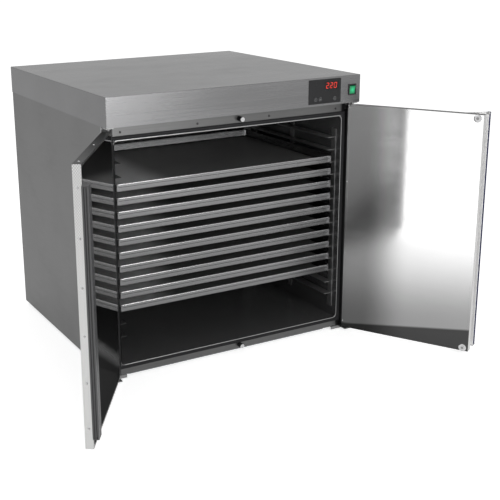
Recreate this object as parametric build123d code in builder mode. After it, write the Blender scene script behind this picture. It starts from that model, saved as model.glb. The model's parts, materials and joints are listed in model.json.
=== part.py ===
"""Plate warmer cabinet: an insulated steel cupboard with two doors and slide-out trays.

Millimetres, from an origin on the floor in the middle of the base. X runs right, Y back and Z up.
Depths start at the front of the fascia and levels at the underside of the body. The doors stand open.
"""

from build123d import *
from math import cos, radians, sin
import os

os.makedirs("parts", exist_ok=True)

# Overall sizes
CABINET_WIDTH = 800.0
CABINET_DEPTH = 750.0
BODY_HEIGHT = 785.0
PLINTH_HEIGHT = 12.0
PLINTH_INSET = 60.0
PLINTH_BAR = 25.0

# Sheet metal
SHEET = 1.2
LINER_SHEET = 1.0
COVER_FIT = 0.2
RIVET_HEAD = 1.2
RIVET_TAPER = 35
RIVET_SIDES = 12

# Top cover, with the fascia folded down at its front
FASCIA_HEIGHT = 80.0
PANEL_OVERLAP = 7.0

# Front frame and doorway
FRAME_SETBACK = 40.0
JAMB_WIDTH = 36.5
HEADER_HEIGHT = 43.4
OPENING_BOTTOM = 31.4
LIP_WIDTH = 2.4
LIP_PROUD = 3.0
LIP_CORNER = 12.0
RAIL_RETURN = 18.0
REAR_WALL = 45.0
FRAME_RIVET_INSET = 19.5
FRAME_RIVET_RADIUS = 3.4

# Door seal
SEAL_WIDTH = 10.0
SEAL_DEPTH = 4.0
SEAL_GAP = 0.3
SEAL_ROUND = 1.5

# Doors
DOOR_TOP_GAP = 9.0
DOOR_BOTTOM = 1.5
DOOR_THICKNESS = 21.0
DOOR_SIDE_INSET = 2.4
DOOR_GAP = 3.2
LEFT_OPEN_DEG = 123.28
RIGHT_OPEN_DEG = 120.1
HEM_WIDTH = 5.8
HEM_LINE = 0.5
LINER_CORNER = 9.0
EDGE_RIVET_COUNT = 6
EDGE_RIVET_INSET = 53.5
EDGE_RIVET_RADIUS = 3.2
TOP_RIVET_INSET = 27.2
TOP_RIVET_PITCH = 181.0
HEM_RIVET_COUNT = 4
HEM_RIVET_RISE = 20.5
HEM_RIVET_DROP = 8.0
HEM_RIVET_RADIUS = 2.3

# Hinges
PIVOT_FROM_SIDE = 13.2
PIVOT_FROM_FRONT = 15.5
PIN_RADIUS = 3.0
PIN_CLEARANCE = 0.06
PIN_ENGAGEMENT = 12.0
BUSH_WALL = 1.3
BUSH_LENGTH = 16.0
HINGE_PLATE = 3.0
HINGE_ARM = 10.0
BRACKET_LENGTH = 48.0
BRACKET_DEPTH = 20.0
BRACKET_LEG = 24.0
BRACKET_EAR = 4.8
FOOT_FLANGE = 9.0

# Centre seal on the left door
ASTRAGAL_ONTO_DOOR = 14.4
ASTRAGAL_OVERHANG = 13.6
ASTRAGAL_DEPTH = 17.0
ASTRAGAL_RELIEF = 0.6
ASTRAGAL_BOTTOM_GAP = 2.1
ASTRAGAL_TOP_GAP = 11.6
RIB_COUNT = 3
RIB_WIDTH = 3.0
RIB_DEPTH = 4.0
CAP_THICKNESS = 2.0

# Pull handle on the right door
PULL_ROOT = 43.0
PULL_FLANGE = 16.0
PULL_SHEET = 1.6
PULL_REACH = 44.0
PULL_TIP = 5.0
GRIP_WIDTH = 6.0
GRIP_LENGTH = 16.0
PULL_CAP = 5.0

# Magnetic catches and their strikers
CATCH_PLACE = 18.0
CATCH_RISE = 11.0
CATCH_DROP = 19.4
CATCH_RADIUS = 6.4
STRIKER_RADIUS = 7.0
STRIKER_PROUD = 1.5
CATCH_GAP = 0.3

# Tray racks and trays
LEVEL_PITCH = 37.8
TOP_LEVEL_DROP = 65.1
LOWEST_LEVEL_RISE = 60.0
RUNNER_WIDTH = 26.0
RUNNER_LEG = 12.0
RUNNER_FRONT = 60.0
UPRIGHT_SHEET = 1.5
UPRIGHT_WIDTH = 20.0
UPRIGHT_COUNT = 3
UPRIGHT_RISE = 28.6
FIRST_TRAY = 3
LAST_TRAY = 12
TRAY_LEFT_GAP = 3.5
TRAY_RIGHT_GAP = 17.5
TRAY_LENGTH = 495.0
TRAY_HEIGHT = 22.8
TRAY_FRONT = 47.0
TRAY_SHEET = 1.0
TRAY_FLARE = 2.5
TRAY_BEAD = 2.0
TRAY_BEAD_HEIGHT = 4.0
TRAY_SEAT_GAP = 0.3
STOP_GAP = 0.6
STOP_SHEET = 2.0

# Heating
MAT_SHEET = 2.0
MAT_MARGIN = 45.0
PROBE_PLACE = 330.0
PROBE_DROP = 14.0
PROBE_RADIUS = 2.5
PROBE_LENGTH = 32.0

# Control panel
PANEL_FROM_SIDE = 124.5
PANEL_TOP_MARGIN = 4.95
PANEL_BOTTOM_MARGIN = 5.75
PANEL_WIDTH = 110.7
PANEL_SHEET = 0.8
PANEL_CORNER = 1.2
WINDOW_MARGIN = 5.0
KEY_RADIUS = 5.2
KEY_PROUD = 0.6
KEY_CLEARANCE = 0.3
KEY_FLANGE = 12.4
KEY_FLANGE_SHEET = 1.2
KEY_STEM = 3.2
KEY_TRAVEL = 0.5
KEY_PLACES = {"key_down": (-31.5, -21.4), "key_up": (-15.5, -21.4), "key_power": (34.1, -22.4)}
BOARD_SETBACK = 9.0
BOARD_SHEET = 1.6
BOARD_MARGIN = 2.6
SPACER_RADIUS = 2.2
CONTACT_SIZE = 6.0
DISPLAY_PLACE = (22.1, 15.6)
DISPLAY_WIDTH = 50.0
DISPLAY_HEIGHT = 25.0
DISPLAY_RECESS = 0.3
DIGIT_HEIGHT = 17.0
DIGIT_WIDTH = 9.4
DIGIT_PITCH = 14.4
SEGMENT_WIDTH = 1.9
SEGMENT_SHEET = 0.2
LAMP_PLACE = (-30.7, 23.4)
LAMP_RADIUS = 1.8

# Rocker switch
SWITCH_FROM_SIDE = 28.9
SWITCH_FROM_TOP = 41.4
BEZEL_WIDTH = 26.6
BEZEL_HEIGHT = 31.2
BEZEL_PROUD = 2.0
SWITCH_WIDTH = 22.4
SWITCH_HEIGHT = 27.8
SWITCH_DEPTH = 24.0
SWITCH_WALL = 1.3
ROCKER_CLEARANCE = 0.4
ROCKER_PIVOT = 5.0
ROCKER_HALF = 11.4
ROCKER_NOSE = 7.5
ROCKER_DISH = 1.5
ROCKER_EDGE = 3.5
ROCKER_HEEL = 4.0
ROCKER_TILT_DEG = 10.0
AXLE_RADIUS = 1.5
AXLE_CLEARANCE = 0.05
AXLE_END = 0.8

# Electrical parts in the top compartment and at the back
TRANSFORMER_SIZE = (58.0, 50.0, 46.0)
TRANSFORMER_FROM_SIDE = 170.0
TRANSFORMER_BAND = 14.0
RELAY_SIZE = (45.0, 60.0, 52.0)
RELAY_FROM_SIDE = 290.0
POWER_SETBACK = 240.0
INLET_FROM_SIDE = 100.0
INLET_RISE = 70.0
INLET_FLANGE = (50.0, 27.0, 2.5)
INLET_BODY = (28.0, 21.0, 20.0)
INLET_RECESS = (24.0, 16.5, 15.0)
INLET_PIN = (2.0, 4.0, 11.0)
INLET_PIN_PITCH = 7.0

# Places worked out from the sizes above
FRONT = -CABINET_DEPTH / 2
BASE = PLINTH_HEIGHT
TOP = BASE + BODY_HEIGHT
FASCIA_BOTTOM = TOP - FASCIA_HEIGHT
PANEL_TOP = FASCIA_BOTTOM + PANEL_OVERLAP
HALF_WIDTH = CABINET_WIDTH / 2
OPENING_WIDTH = CABINET_WIDTH - 2 * JAMB_WIDTH
OPENING_HEIGHT = BODY_HEIGHT - FASCIA_HEIGHT - HEADER_HEIGHT - OPENING_BOTTOM
DOOR_HEIGHT = BODY_HEIGHT - FASCIA_HEIGHT - DOOR_TOP_GAP - DOOR_BOTTOM
PANEL_OUT = HALF_WIDTH - SHEET - COVER_FIT
PANEL_IN = PANEL_OUT - SHEET
BACK_OUT = CABINET_DEPTH - SHEET - COVER_FIT
BACK_IN = BACK_OUT - SHEET
FRAME_BACK = FRAME_SETBACK + SHEET
RAIL_BACK = FRAME_BACK + RAIL_RETURN
HALF_OPENING = OPENING_WIDTH / 2
OPENING_LOW = BASE + OPENING_BOTTOM
OPENING_HIGH = OPENING_LOW + OPENING_HEIGHT
HALF_DOORWAY = HALF_OPENING + LIP_WIDTH
DOORWAY_LOW = OPENING_LOW - LIP_WIDTH
DOORWAY_HIGH = OPENING_HIGH + LIP_WIDTH
LIP_FRONT = FRAME_SETBACK - LIP_PROUD
CAVITY_BACK = CABINET_DEPTH - REAR_WALL
LINER_OUT = HALF_OPENING + LINER_SHEET
LINER_LOW = OPENING_LOW - LINER_SHEET
LINER_HIGH = OPENING_HIGH + LINER_SHEET
MAT_OUT = LINER_OUT + MAT_SHEET
HINGE_X = HALF_WIDTH - PIVOT_FROM_SIDE
HINGE_EDGE = PIVOT_FROM_SIDE - DOOR_SIDE_INSET
FREE_EDGE = HINGE_X - DOOR_GAP / 2
DOOR_OUTER = -PIVOT_FROM_FRONT
DOOR_INNER = DOOR_OUTER + DOOR_THICKNESS
DOOR_LOW = BASE + DOOR_BOTTOM
DOOR_HIGH = DOOR_LOW + DOOR_HEIGHT
BUSH_RADIUS = PIN_RADIUS + PIN_CLEARANCE + BUSH_WALL
TOP_LEVEL = OPENING_HIGH - TOP_LEVEL_DROP
LEVEL_COUNT = int((OPENING_HEIGHT - TOP_LEVEL_DROP - LOWEST_LEVEL_RISE) / LEVEL_PITCH) + 1
TRAY_WIDTH = OPENING_WIDTH - TRAY_LEFT_GAP - TRAY_RIGHT_GAP
TRAY_MIDDLE = (TRAY_LEFT_GAP - TRAY_RIGHT_GAP) / 2
RUNNER_OUT = HALF_OPENING - UPRIGHT_SHEET
RUNNER_TIP = RUNNER_OUT - RUNNER_WIDTH
RUNNER_BACK = TRAY_FRONT + TRAY_LENGTH + STOP_GAP
CATCH_FACE = DOOR_THICKNESS + STRIKER_PROUD + CATCH_GAP
CATCH_HEIGHTS = (BASE + CATCH_RISE, FASCIA_BOTTOM - CATCH_DROP)
PANEL_HEIGHT = FASCIA_HEIGHT - PANEL_TOP_MARGIN - PANEL_BOTTOM_MARGIN
SWITCH_CAVITY = (ROCKER_HALF**2 + ROCKER_NOSE**2) ** 0.5
INLET_BACK = BACK_OUT - INLET_BODY[2]

CABINET = Plane(origin=(0, FRONT, 0), x_dir=(1, 0, 0), z_dir=(0, 0, 1))


def door_plane(side, turn_deg):
    """An open door's own plane: origin on the hinge axis, X and Y as they lie when the door is closed."""
    turn = radians(turn_deg)
    pivot = (side * HINGE_X, FRONT + PIVOT_FROM_FRONT, 0)
    return Plane(origin=pivot, x_dir=(cos(turn), sin(turn), 0), z_dir=(0, 0, 1))


def wall_plane(place, frame, x, y, z, towards):
    """A plane on the frame's own point, facing along the frame's X, Y or Z; its X runs across the frame."""
    across = {"x": frame.y_dir, "y": frame.z_dir, "z": frame.x_dir}[towards]
    along = {"x": frame.x_dir, "y": frame.y_dir, "z": frame.z_dir}[towards]
    return Plane(origin=frame.from_local_coords((x, y, z)), x_dir=across, z_dir=along * place)


def block(x, y, z, frame=CABINET, mode=Mode.ADD):
    """A rectangular block between the given pairs of X, Y and Z, in whichever order each pair comes."""
    low, high = sorted(z)
    with BuildSketch(frame.offset(low)) as outline:
        with Locations((sum(x) / 2, sum(y) / 2)):
            Rectangle(abs(x[1] - x[0]), abs(y[1] - y[0]))
    extrude(outline.sketch, amount=high - low, mode=mode)


def rod(plane, radius, length, mode=Mode.ADD):
    """A round bar that stands on a plane."""
    with BuildSketch(plane) as outline:
        Circle(radius)
    extrude(outline.sketch, amount=length, mode=mode)


def rivet(plane, radius):
    """A low rivet head with a faceted edge."""
    with BuildSketch(plane) as outline:
        RegularPolygon(radius, RIVET_SIDES)
    extrude(outline.sketch, amount=RIVET_HEAD, taper=RIVET_TAPER)


def divide(*cuts):
    """Parts the current piece into blocks that touch, along planes across X, a depth or a height."""
    for axis, place in cuts:
        across = {"x": Plane.YZ, "y": Plane.XZ.rotated((0, 0, 180)), "z": Plane.XY}[axis]
        reach = place + FRONT if axis == "y" else place
        split(bisect_by=across.offset(reach), keep=Keep.BOTH)


def prism(points, z, frame=CABINET, mode=Mode.ADD):
    """An upright bar whose outline is the given points."""
    with BuildSketch(frame.offset(z[0])) as outline:
        with BuildLine():
            Polyline(*points, close=True)
        make_face()
    extrude(outline.sketch, amount=z[1] - z[0], mode=mode)


def save(piece, name):
    """Labels a finished piece and writes it to its file."""
    piece.part.label = name
    export_step(piece.part, f"parts/{name}.step")


def front_plane(x, z, y):
    """A plane facing the back at a depth, with its origin at X and Z."""
    return wall_plane(1, CABINET, x, y, z, "y")


def spaced(low, high, count):
    """Evenly spaced places from one end to the other."""
    return [low + (high - low) * place / (count - 1) for place in range(count)]


# Casing

with BuildPart() as top_cover:
    block((-HALF_WIDTH, HALF_WIDTH), (0, CABINET_DEPTH), (FASCIA_BOTTOM, TOP))
    fillet(top_cover.edges().filter_by(Axis.Z), SHEET)
    inner_width = (SHEET - HALF_WIDTH, HALF_WIDTH - SHEET)
    block(inner_width, (SHEET, CABINET_DEPTH - SHEET), (FASCIA_BOTTOM, TOP - SHEET), mode=Mode.SUBTRACT)
    # The fascia's lower edge is folded back to the front frame.
    block(inner_width, (SHEET, FRAME_SETBACK), (FASCIA_BOTTOM, FASCIA_BOTTOM + SHEET))
    panel_x, panel_z = HALF_WIDTH - PANEL_FROM_SIDE, TOP - PANEL_TOP_MARGIN - PANEL_HEIGHT / 2
    window_x, window_z = PANEL_WIDTH / 2 - WINDOW_MARGIN, PANEL_HEIGHT / 2 - WINDOW_MARGIN
    block((panel_x - window_x, panel_x + window_x), (0, SHEET), (panel_z - window_z, panel_z + window_z),
          mode=Mode.SUBTRACT)
    switch_x, switch_z = HALF_WIDTH - SWITCH_FROM_SIDE, TOP - SWITCH_FROM_TOP
    block((switch_x - SWITCH_WIDTH / 2, switch_x + SWITCH_WIDTH / 2), (0, SHEET),
          (switch_z - SWITCH_HEIGHT / 2, switch_z + SWITCH_HEIGHT / 2), mode=Mode.SUBTRACT)
    divide(("y", SHEET), ("z", TOP - SHEET), ("x", inner_width[0]), ("x", inner_width[1]))
save(top_cover, "top_cover")

for side, name in ((-1, "side_panel_left"), (1, "side_panel_right")):
    with BuildPart() as side_panel:
        block((side * PANEL_IN, side * PANEL_OUT), (FRAME_SETBACK, BACK_OUT), (BASE, PANEL_TOP))
    save(side_panel, name)

inlet_x, inlet_z = HALF_WIDTH - INLET_FROM_SIDE, BASE + INLET_RISE
inlet_width = (inlet_x - INLET_BODY[0] / 2, inlet_x + INLET_BODY[0] / 2)
inlet_height = (inlet_z - INLET_BODY[1] / 2, inlet_z + INLET_BODY[1] / 2)
with BuildPart() as back_panel:
    block((-PANEL_IN, PANEL_IN), (BACK_IN, BACK_OUT), (BASE, PANEL_TOP))
    block(inlet_width, (BACK_IN, BACK_OUT), inlet_height, mode=Mode.SUBTRACT)
    divide(("x", inlet_width[0]), ("x", inlet_width[1]))
save(back_panel, "back_panel")

with BuildPart() as base_pan:
    block((-PANEL_IN, PANEL_IN), (FRAME_BACK, BACK_IN), (BASE, BASE + SHEET))
save(base_pan, "base_pan")

with BuildPart() as base_plinth:
    with BuildSketch(Plane.XY):
        plinth_width, plinth_depth = CABINET_WIDTH - 2 * PLINTH_INSET, CABINET_DEPTH - 2 * PLINTH_INSET
        RectangleRounded(plinth_width, plinth_depth, PLINTH_BAR / 2)
        Rectangle(plinth_width - 2 * PLINTH_BAR, plinth_depth - 2 * PLINTH_BAR, mode=Mode.SUBTRACT)
    extrude(amount=PLINTH_HEIGHT)
save(base_plinth, "base_plinth")

with BuildPart() as compartment_deck:
    block((-PANEL_IN, PANEL_IN), (FRAME_SETBACK, BACK_IN), (FASCIA_BOTTOM, FASCIA_BOTTOM + SHEET))
save(compartment_deck, "compartment_deck")

# Front frame

with BuildPart() as door_jambs:
    for side in (-1, 1):
        block((side * HALF_DOORWAY, side * PANEL_IN), (FRAME_SETBACK, FRAME_BACK), (BASE, FASCIA_BOTTOM))
        block((side * HALF_DOORWAY, side * (HALF_DOORWAY + SHEET)), (FRAME_BACK, RAIL_BACK),
              (DOORWAY_LOW, DOORWAY_HIGH))
save(door_jambs, "door_jambs")

rails = ((DOORWAY_HIGH, 1, FASCIA_BOTTOM, "header_rail"), (DOORWAY_LOW, -1, BASE, "sill_rail"))
for edge, inwards, limit, name in rails:
    with BuildPart() as rail:
        block((-HALF_DOORWAY, HALF_DOORWAY), (FRAME_SETBACK, FRAME_BACK), (edge, limit))
        block((-HALF_DOORWAY, HALF_DOORWAY), (FRAME_BACK, RAIL_BACK), (edge, edge + inwards * SHEET))
    save(rail, name)

with BuildPart() as frame_rivets:
    rivet_reach = HALF_OPENING - FRAME_RIVET_INSET
    for place in spaced(-rivet_reach, rivet_reach, 4):
        head = wall_plane(-1, CABINET, place, FRAME_SETBACK, (DOORWAY_HIGH + FASCIA_BOTTOM) / 2, "y")
        rivet(head, FRAME_RIVET_RADIUS)
save(frame_rivets, "frame_rivets")

seal_middle = (DOORWAY_LOW + DOORWAY_HIGH) / 2
seal_height = DOORWAY_HIGH - DOORWAY_LOW + 2 * SEAL_GAP
seal_width = 2 * (HALF_DOORWAY + SEAL_GAP)
with BuildPart() as door_seal:
    with BuildSketch(wall_plane(-1, CABINET, 0, FRAME_SETBACK, seal_middle, "y")):
        Rectangle(seal_height + 2 * SEAL_WIDTH, seal_width + 2 * SEAL_WIDTH)
        Rectangle(seal_height, seal_width, mode=Mode.SUBTRACT)
    extrude(amount=SEAL_DEPTH)
    fillet(door_seal.faces().sort_by(Axis.Y)[0].edges(), SEAL_ROUND)
save(door_seal, "door_seal")

# Heated cavity

with BuildPart() as liner_sides:
    for side in (-1, 1):
        block((side * HALF_OPENING, side * LINER_OUT), (LIP_FRONT, CAVITY_BACK), (LINER_LOW, LINER_HIGH))
        lip_width = (side * HALF_OPENING, side * HALF_DOORWAY)
        block(lip_width, (LIP_FRONT, FRAME_BACK), (DOORWAY_LOW, DOORWAY_HIGH))
    with BuildSketch(front_plane(0, (OPENING_LOW + OPENING_HIGH) / 2, LIP_FRONT)) as lip_corners:
        Rectangle(OPENING_HEIGHT, OPENING_WIDTH)
        RectangleRounded(OPENING_HEIGHT, OPENING_WIDTH, LIP_CORNER, mode=Mode.SUBTRACT)
    extrude(lip_corners.sketch, amount=FRAME_BACK - LIP_FRONT)
    divide(("x", -HALF_OPENING), ("x", HALF_OPENING))
save(liner_sides, "liner_sides")

for edge, outwards, name in ((OPENING_LOW, -1, "liner_floor"), (OPENING_HIGH, 1, "liner_top")):
    with BuildPart() as liner_level:
        block((-HALF_OPENING, HALF_OPENING), (LIP_FRONT, CAVITY_BACK), (edge, edge + outwards * LINER_SHEET))
        block((-HALF_OPENING, HALF_OPENING), (LIP_FRONT, FRAME_BACK), (edge, edge + outwards * LIP_WIDTH))
    save(liner_level, name)

with BuildPart() as liner_back:
    block((-LINER_OUT, LINER_OUT), (CAVITY_BACK, CAVITY_BACK + LINER_SHEET), (LINER_LOW, LINER_HIGH))
save(liner_back, "liner_back")

with BuildPart() as heater_mats:
    mat_depth = (RAIL_BACK + MAT_MARGIN, CAVITY_BACK - MAT_MARGIN)
    for side in (-1, 1):
        mat_height = (OPENING_LOW + MAT_MARGIN, OPENING_HIGH - MAT_MARGIN)
        block((side * LINER_OUT, side * MAT_OUT), mat_depth, mat_height)
    mat_half = HALF_OPENING - MAT_MARGIN
    block((-mat_half, mat_half), mat_depth, (LINER_LOW - MAT_SHEET, LINER_LOW))
save(heater_mats, "heater_mats")

with BuildPart() as insulation:
    wool_back = CAVITY_BACK + LINER_SHEET
    wool_depth = (RAIL_BACK, BACK_IN)
    block((-PANEL_IN, PANEL_IN), wool_depth, (BASE + SHEET, FASCIA_BOTTOM))
    wool_hollow = (LINER_LOW - MAT_SHEET, LINER_HIGH)
    block((-MAT_OUT, MAT_OUT), (RAIL_BACK, wool_back), wool_hollow, mode=Mode.SUBTRACT)
    block(inlet_width, (INLET_BACK, BACK_IN), inlet_height, mode=Mode.SUBTRACT)
save(insulation, "insulation")

with BuildPart() as tray_runners:
    for side in (-1, 1):
        for level in range(LEVEL_COUNT):
            seat = TOP_LEVEL - level * LEVEL_PITCH
            block((side * RUNNER_TIP, side * RUNNER_OUT), (RUNNER_FRONT, RUNNER_BACK), (seat - SHEET, seat))
            block((side * (RUNNER_OUT - SHEET), side * RUNNER_OUT), (RUNNER_FRONT, RUNNER_BACK),
                  (seat - RUNNER_LEG, seat - SHEET))
save(tray_runners, "tray_runners")

# The rearmost uprights are set forward of the stop strips, which close the back of each rack.
with BuildPart() as rack_uprights:
    rack_height = (OPENING_LOW + UPRIGHT_RISE, TOP_LEVEL + TRAY_HEIGHT)
    upright_pitch = (RUNNER_BACK - RUNNER_FRONT - 2 * UPRIGHT_WIDTH) / (UPRIGHT_COUNT - 1)
    for side in (-1, 1):
        for place in range(UPRIGHT_COUNT):
            start = RUNNER_FRONT + place * upright_pitch
            block((side * RUNNER_OUT, side * HALF_OPENING), (start, start + UPRIGHT_WIDTH), rack_height)
        block((side * RUNNER_TIP, side * HALF_OPENING), (RUNNER_BACK, RUNNER_BACK + STOP_SHEET), rack_height)
save(rack_uprights, "rack_uprights")

with BuildPart() as temperature_probe:
    probe_root = wall_plane(-1, CABINET, HALF_OPENING, PROBE_PLACE, OPENING_HIGH - PROBE_DROP, "x")
    rod(probe_root, PROBE_RADIUS, PROBE_LENGTH)
    rod(probe_root, 2 * PROBE_RADIUS, PROBE_RADIUS)
save(temperature_probe, "temperature_probe")

# Trays

for number in range(FIRST_TRAY, LAST_TRAY + 1):
    under = TOP_LEVEL - (number - 1) * LEVEL_PITCH + TRAY_SEAT_GAP
    middle = (TRAY_MIDDLE, TRAY_FRONT + TRAY_LENGTH / 2)
    wall_width, wall_length = TRAY_WIDTH - 2 * TRAY_BEAD, TRAY_LENGTH - 2 * TRAY_BEAD
    with BuildPart() as tray:
        for inset, low, step in ((0.0, under, Mode.ADD), (TRAY_SHEET, under + TRAY_SHEET, Mode.SUBTRACT)):
            with BuildSketch(CABINET.offset(low)) as floor_outline:
                with Locations(middle):
                    Rectangle(wall_width - 2 * (TRAY_FLARE + inset), wall_length - 2 * (TRAY_FLARE + inset))
            with BuildSketch(CABINET.offset(under + TRAY_HEIGHT)) as rim_outline:
                with Locations(middle):
                    Rectangle(wall_width - 2 * inset, wall_length - 2 * inset)
            loft([floor_outline.sketch, rim_outline.sketch], mode=step)
        with BuildSketch(CABINET.offset(under + TRAY_HEIGHT - TRAY_BEAD_HEIGHT)) as bead_outline:
            with Locations(middle):
                Rectangle(TRAY_WIDTH, TRAY_LENGTH)
                Rectangle(wall_width - TRAY_SHEET, wall_length - TRAY_SHEET, mode=Mode.SUBTRACT)
        extrude(bead_outline.sketch, amount=TRAY_BEAD_HEIGHT)
        inner_half = wall_width / 2 - TRAY_FLARE - TRAY_SHEET
        divide(("z", under + TRAY_SHEET), ("x", TRAY_MIDDLE - inner_half), ("x", TRAY_MIDDLE + inner_half))
    save(tray, f"tray_{number:02d}")

# Doors: each is a skin folded round an insulated core, with a polished liner set inside its hem

LEFT_DOOR = door_plane(-1, -LEFT_OPEN_DEG)
RIGHT_DOOR = door_plane(1, RIGHT_OPEN_DEG)
bush_ends = ((DOOR_LOW, DOOR_LOW + BUSH_LENGTH), (DOOR_HIGH - BUSH_LENGTH, DOOR_HIGH))

for frame, hand, prefix in ((LEFT_DOOR, 1, "door_left"), (RIGHT_DOOR, -1, "door_right")):
    door_x = (-hand * HINGE_EDGE, hand * FREE_EDGE)
    inside_x = (hand * (SHEET - HINGE_EDGE), hand * (FREE_EDGE - SHEET))
    inside_y = (DOOR_OUTER + SHEET, DOOR_INNER - LINER_SHEET)
    inside_z = (DOOR_LOW + SHEET, DOOR_HIGH - SHEET)
    liner_plane = Plane(
        origin=frame.from_local_coords((sum(door_x) / 2, inside_y[1], (DOOR_LOW + DOOR_HIGH) / 2)),
        x_dir=frame.z_dir,
        z_dir=frame.y_dir,
    )
    liner_height, liner_width = DOOR_HEIGHT - 2 * HEM_WIDTH, FREE_EDGE + HINGE_EDGE - 2 * HEM_WIDTH

    with BuildPart() as door_skin:
        block(door_x, (DOOR_OUTER, DOOR_INNER), (DOOR_LOW, DOOR_HIGH), frame)
        block(inside_x, inside_y, inside_z, frame, Mode.SUBTRACT)
        with BuildSketch(liner_plane) as hem_outline:
            RectangleRounded(liner_height, liner_width, LINER_CORNER)
        extrude(hem_outline.sketch, amount=LINER_SHEET, mode=Mode.SUBTRACT)
        for z in bush_ends:
            rod(frame.offset(z[0]), BUSH_RADIUS, BUSH_LENGTH, mode=Mode.SUBTRACT)
    save(door_skin, f"{prefix}_skin")

    with BuildPart() as door_core:
        block(inside_x, inside_y, inside_z, frame)
        for z in bush_ends:
            rod(frame.offset(z[0]), BUSH_RADIUS, BUSH_LENGTH, mode=Mode.SUBTRACT)
    save(door_core, f"{prefix}_core")

    with BuildPart() as door_liner:
        with BuildSketch(liner_plane):
            liner_sizes = (liner_height - 2 * HEM_LINE, liner_width - 2 * HEM_LINE)
            RectangleRounded(*liner_sizes, LINER_CORNER - HEM_LINE)
        extrude(amount=LINER_SHEET)
    save(door_liner, f"{prefix}_liner")

    with BuildPart() as door_bushes:
        for z in bush_ends:
            rod(frame.offset(z[0]), BUSH_RADIUS, BUSH_LENGTH)
            rod(frame.offset(z[0]), PIN_RADIUS + PIN_CLEARANCE, BUSH_LENGTH, mode=Mode.SUBTRACT)
    save(door_bushes, f"{prefix}_bushes")

with BuildPart() as door_left_rivets:
    for height in spaced(DOOR_LOW + EDGE_RIVET_INSET, DOOR_HIGH - EDGE_RIVET_INSET, EDGE_RIVET_COUNT):
        edge_plane = wall_plane(1, LEFT_DOOR, FREE_EDGE, DOOR_OUTER + DOOR_THICKNESS / 2, height, "x")
        rivet(edge_plane, EDGE_RIVET_RADIUS)
    for place in (FREE_EDGE - TOP_RIVET_INSET, FREE_EDGE - TOP_RIVET_INSET - TOP_RIVET_PITCH):
        top_plane = wall_plane(1, LEFT_DOOR, place, DOOR_OUTER + DOOR_THICKNESS / 2, DOOR_HIGH, "z")
        rivet(top_plane, EDGE_RIVET_RADIUS)
save(door_left_rivets, "door_left_rivets")

with BuildPart() as door_right_rivets:
    for height in spaced(DOOR_LOW + HEM_RIVET_RISE, DOOR_HIGH - HEM_RIVET_DROP, HEM_RIVET_COUNT):
        hem_plane = wall_plane(1, RIGHT_DOOR, HINGE_EDGE - HEM_WIDTH / 2, DOOR_INNER, height, "y")
        rivet(hem_plane, HEM_RIVET_RADIUS)
save(door_right_rivets, "door_right_rivets")

# Centre seal: a ribbed strip that overlaps the closed right door
strip_x = (FREE_EDGE - ASTRAGAL_ONTO_DOOR, FREE_EDGE + ASTRAGAL_OVERHANG)
strip_y = (DOOR_INNER + ASTRAGAL_RELIEF, DOOR_INNER + ASTRAGAL_DEPTH)
strip_z = (OPENING_LOW + ASTRAGAL_BOTTOM_GAP, OPENING_HIGH - ASTRAGAL_TOP_GAP)
ribbed_z = (strip_z[0] + CAP_THICKNESS, strip_z[1] - CAP_THICKNESS)
with BuildPart() as astragal:
    block(strip_x, strip_y, ribbed_z, LEFT_DOOR)
    block((strip_x[0], FREE_EDGE), (DOOR_INNER, strip_y[0]), ribbed_z, LEFT_DOOR)
    groove_pitch = (strip_y[1] - strip_y[0]) / RIB_COUNT
    for groove in range(RIB_COUNT - 1):
        line = strip_y[0] + (groove + 1) * groove_pitch
        groove_y = (line - RIB_WIDTH / 2, line + RIB_WIDTH / 2)
        for face, inwards in ((strip_x[0], 1), (strip_x[1], -1)):
            block((face, face + inwards * RIB_DEPTH), groove_y, strip_z, LEFT_DOOR, Mode.SUBTRACT)
    for groove in range(RIB_COUNT):
        line = strip_x[0] + (groove + 1) * (strip_x[1] - strip_x[0]) / (RIB_COUNT + 1)
        groove_x = (line - RIB_WIDTH / 2, line + RIB_WIDTH / 2)
        block(groove_x, (strip_y[1] - RIB_DEPTH, strip_y[1]), strip_z, LEFT_DOOR, Mode.SUBTRACT)
save(astragal, "astragal")

with BuildPart() as astragal_caps:
    for low in (strip_z[0], strip_z[1] - CAP_THICKNESS):
        block(strip_x, strip_y, (low, low + CAP_THICKNESS), LEFT_DOOR)
        block((strip_x[0], FREE_EDGE), (DOOR_INNER, strip_y[0]), (low, low + CAP_THICKNESS), LEFT_DOOR)
save(astragal_caps, "astragal_caps")


# Pull handle: a full-height plate that leans out over the right door's free edge and ends in a grip

def pull_point(back, out):
    """A point at a distance back from the free edge and a distance out from the right door's face."""
    return (back - FREE_EDGE, DOOR_OUTER - out)


pull_z = (DOOR_LOW + PULL_CAP, DOOR_HIGH - PULL_CAP)
lean = PULL_SHEET * PULL_REACH / (PULL_ROOT - PULL_TIP)
with BuildPart() as pull_plate:
    prism(
        (
            pull_point(PULL_ROOT, 0),
            pull_point(PULL_TIP, PULL_REACH),
            pull_point(PULL_TIP + PULL_SHEET, PULL_REACH + lean - PULL_SHEET),
            pull_point(PULL_ROOT + PULL_SHEET, PULL_SHEET),
            pull_point(PULL_ROOT + PULL_FLANGE, PULL_SHEET),
            pull_point(PULL_ROOT + PULL_FLANGE, 0),
        ),
        pull_z,
        RIGHT_DOOR,
    )
save(pull_plate, "pull_plate")

with BuildPart() as pull_grip:
    prism(
        (
            pull_point(PULL_TIP, PULL_REACH),
            pull_point(PULL_TIP, PULL_REACH - GRIP_LENGTH),
            pull_point(PULL_TIP - GRIP_WIDTH, PULL_REACH - GRIP_LENGTH),
            pull_point(PULL_TIP - GRIP_WIDTH, PULL_REACH),
        ),
        pull_z,
        RIGHT_DOOR,
    )
save(pull_grip, "pull_grip")

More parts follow.
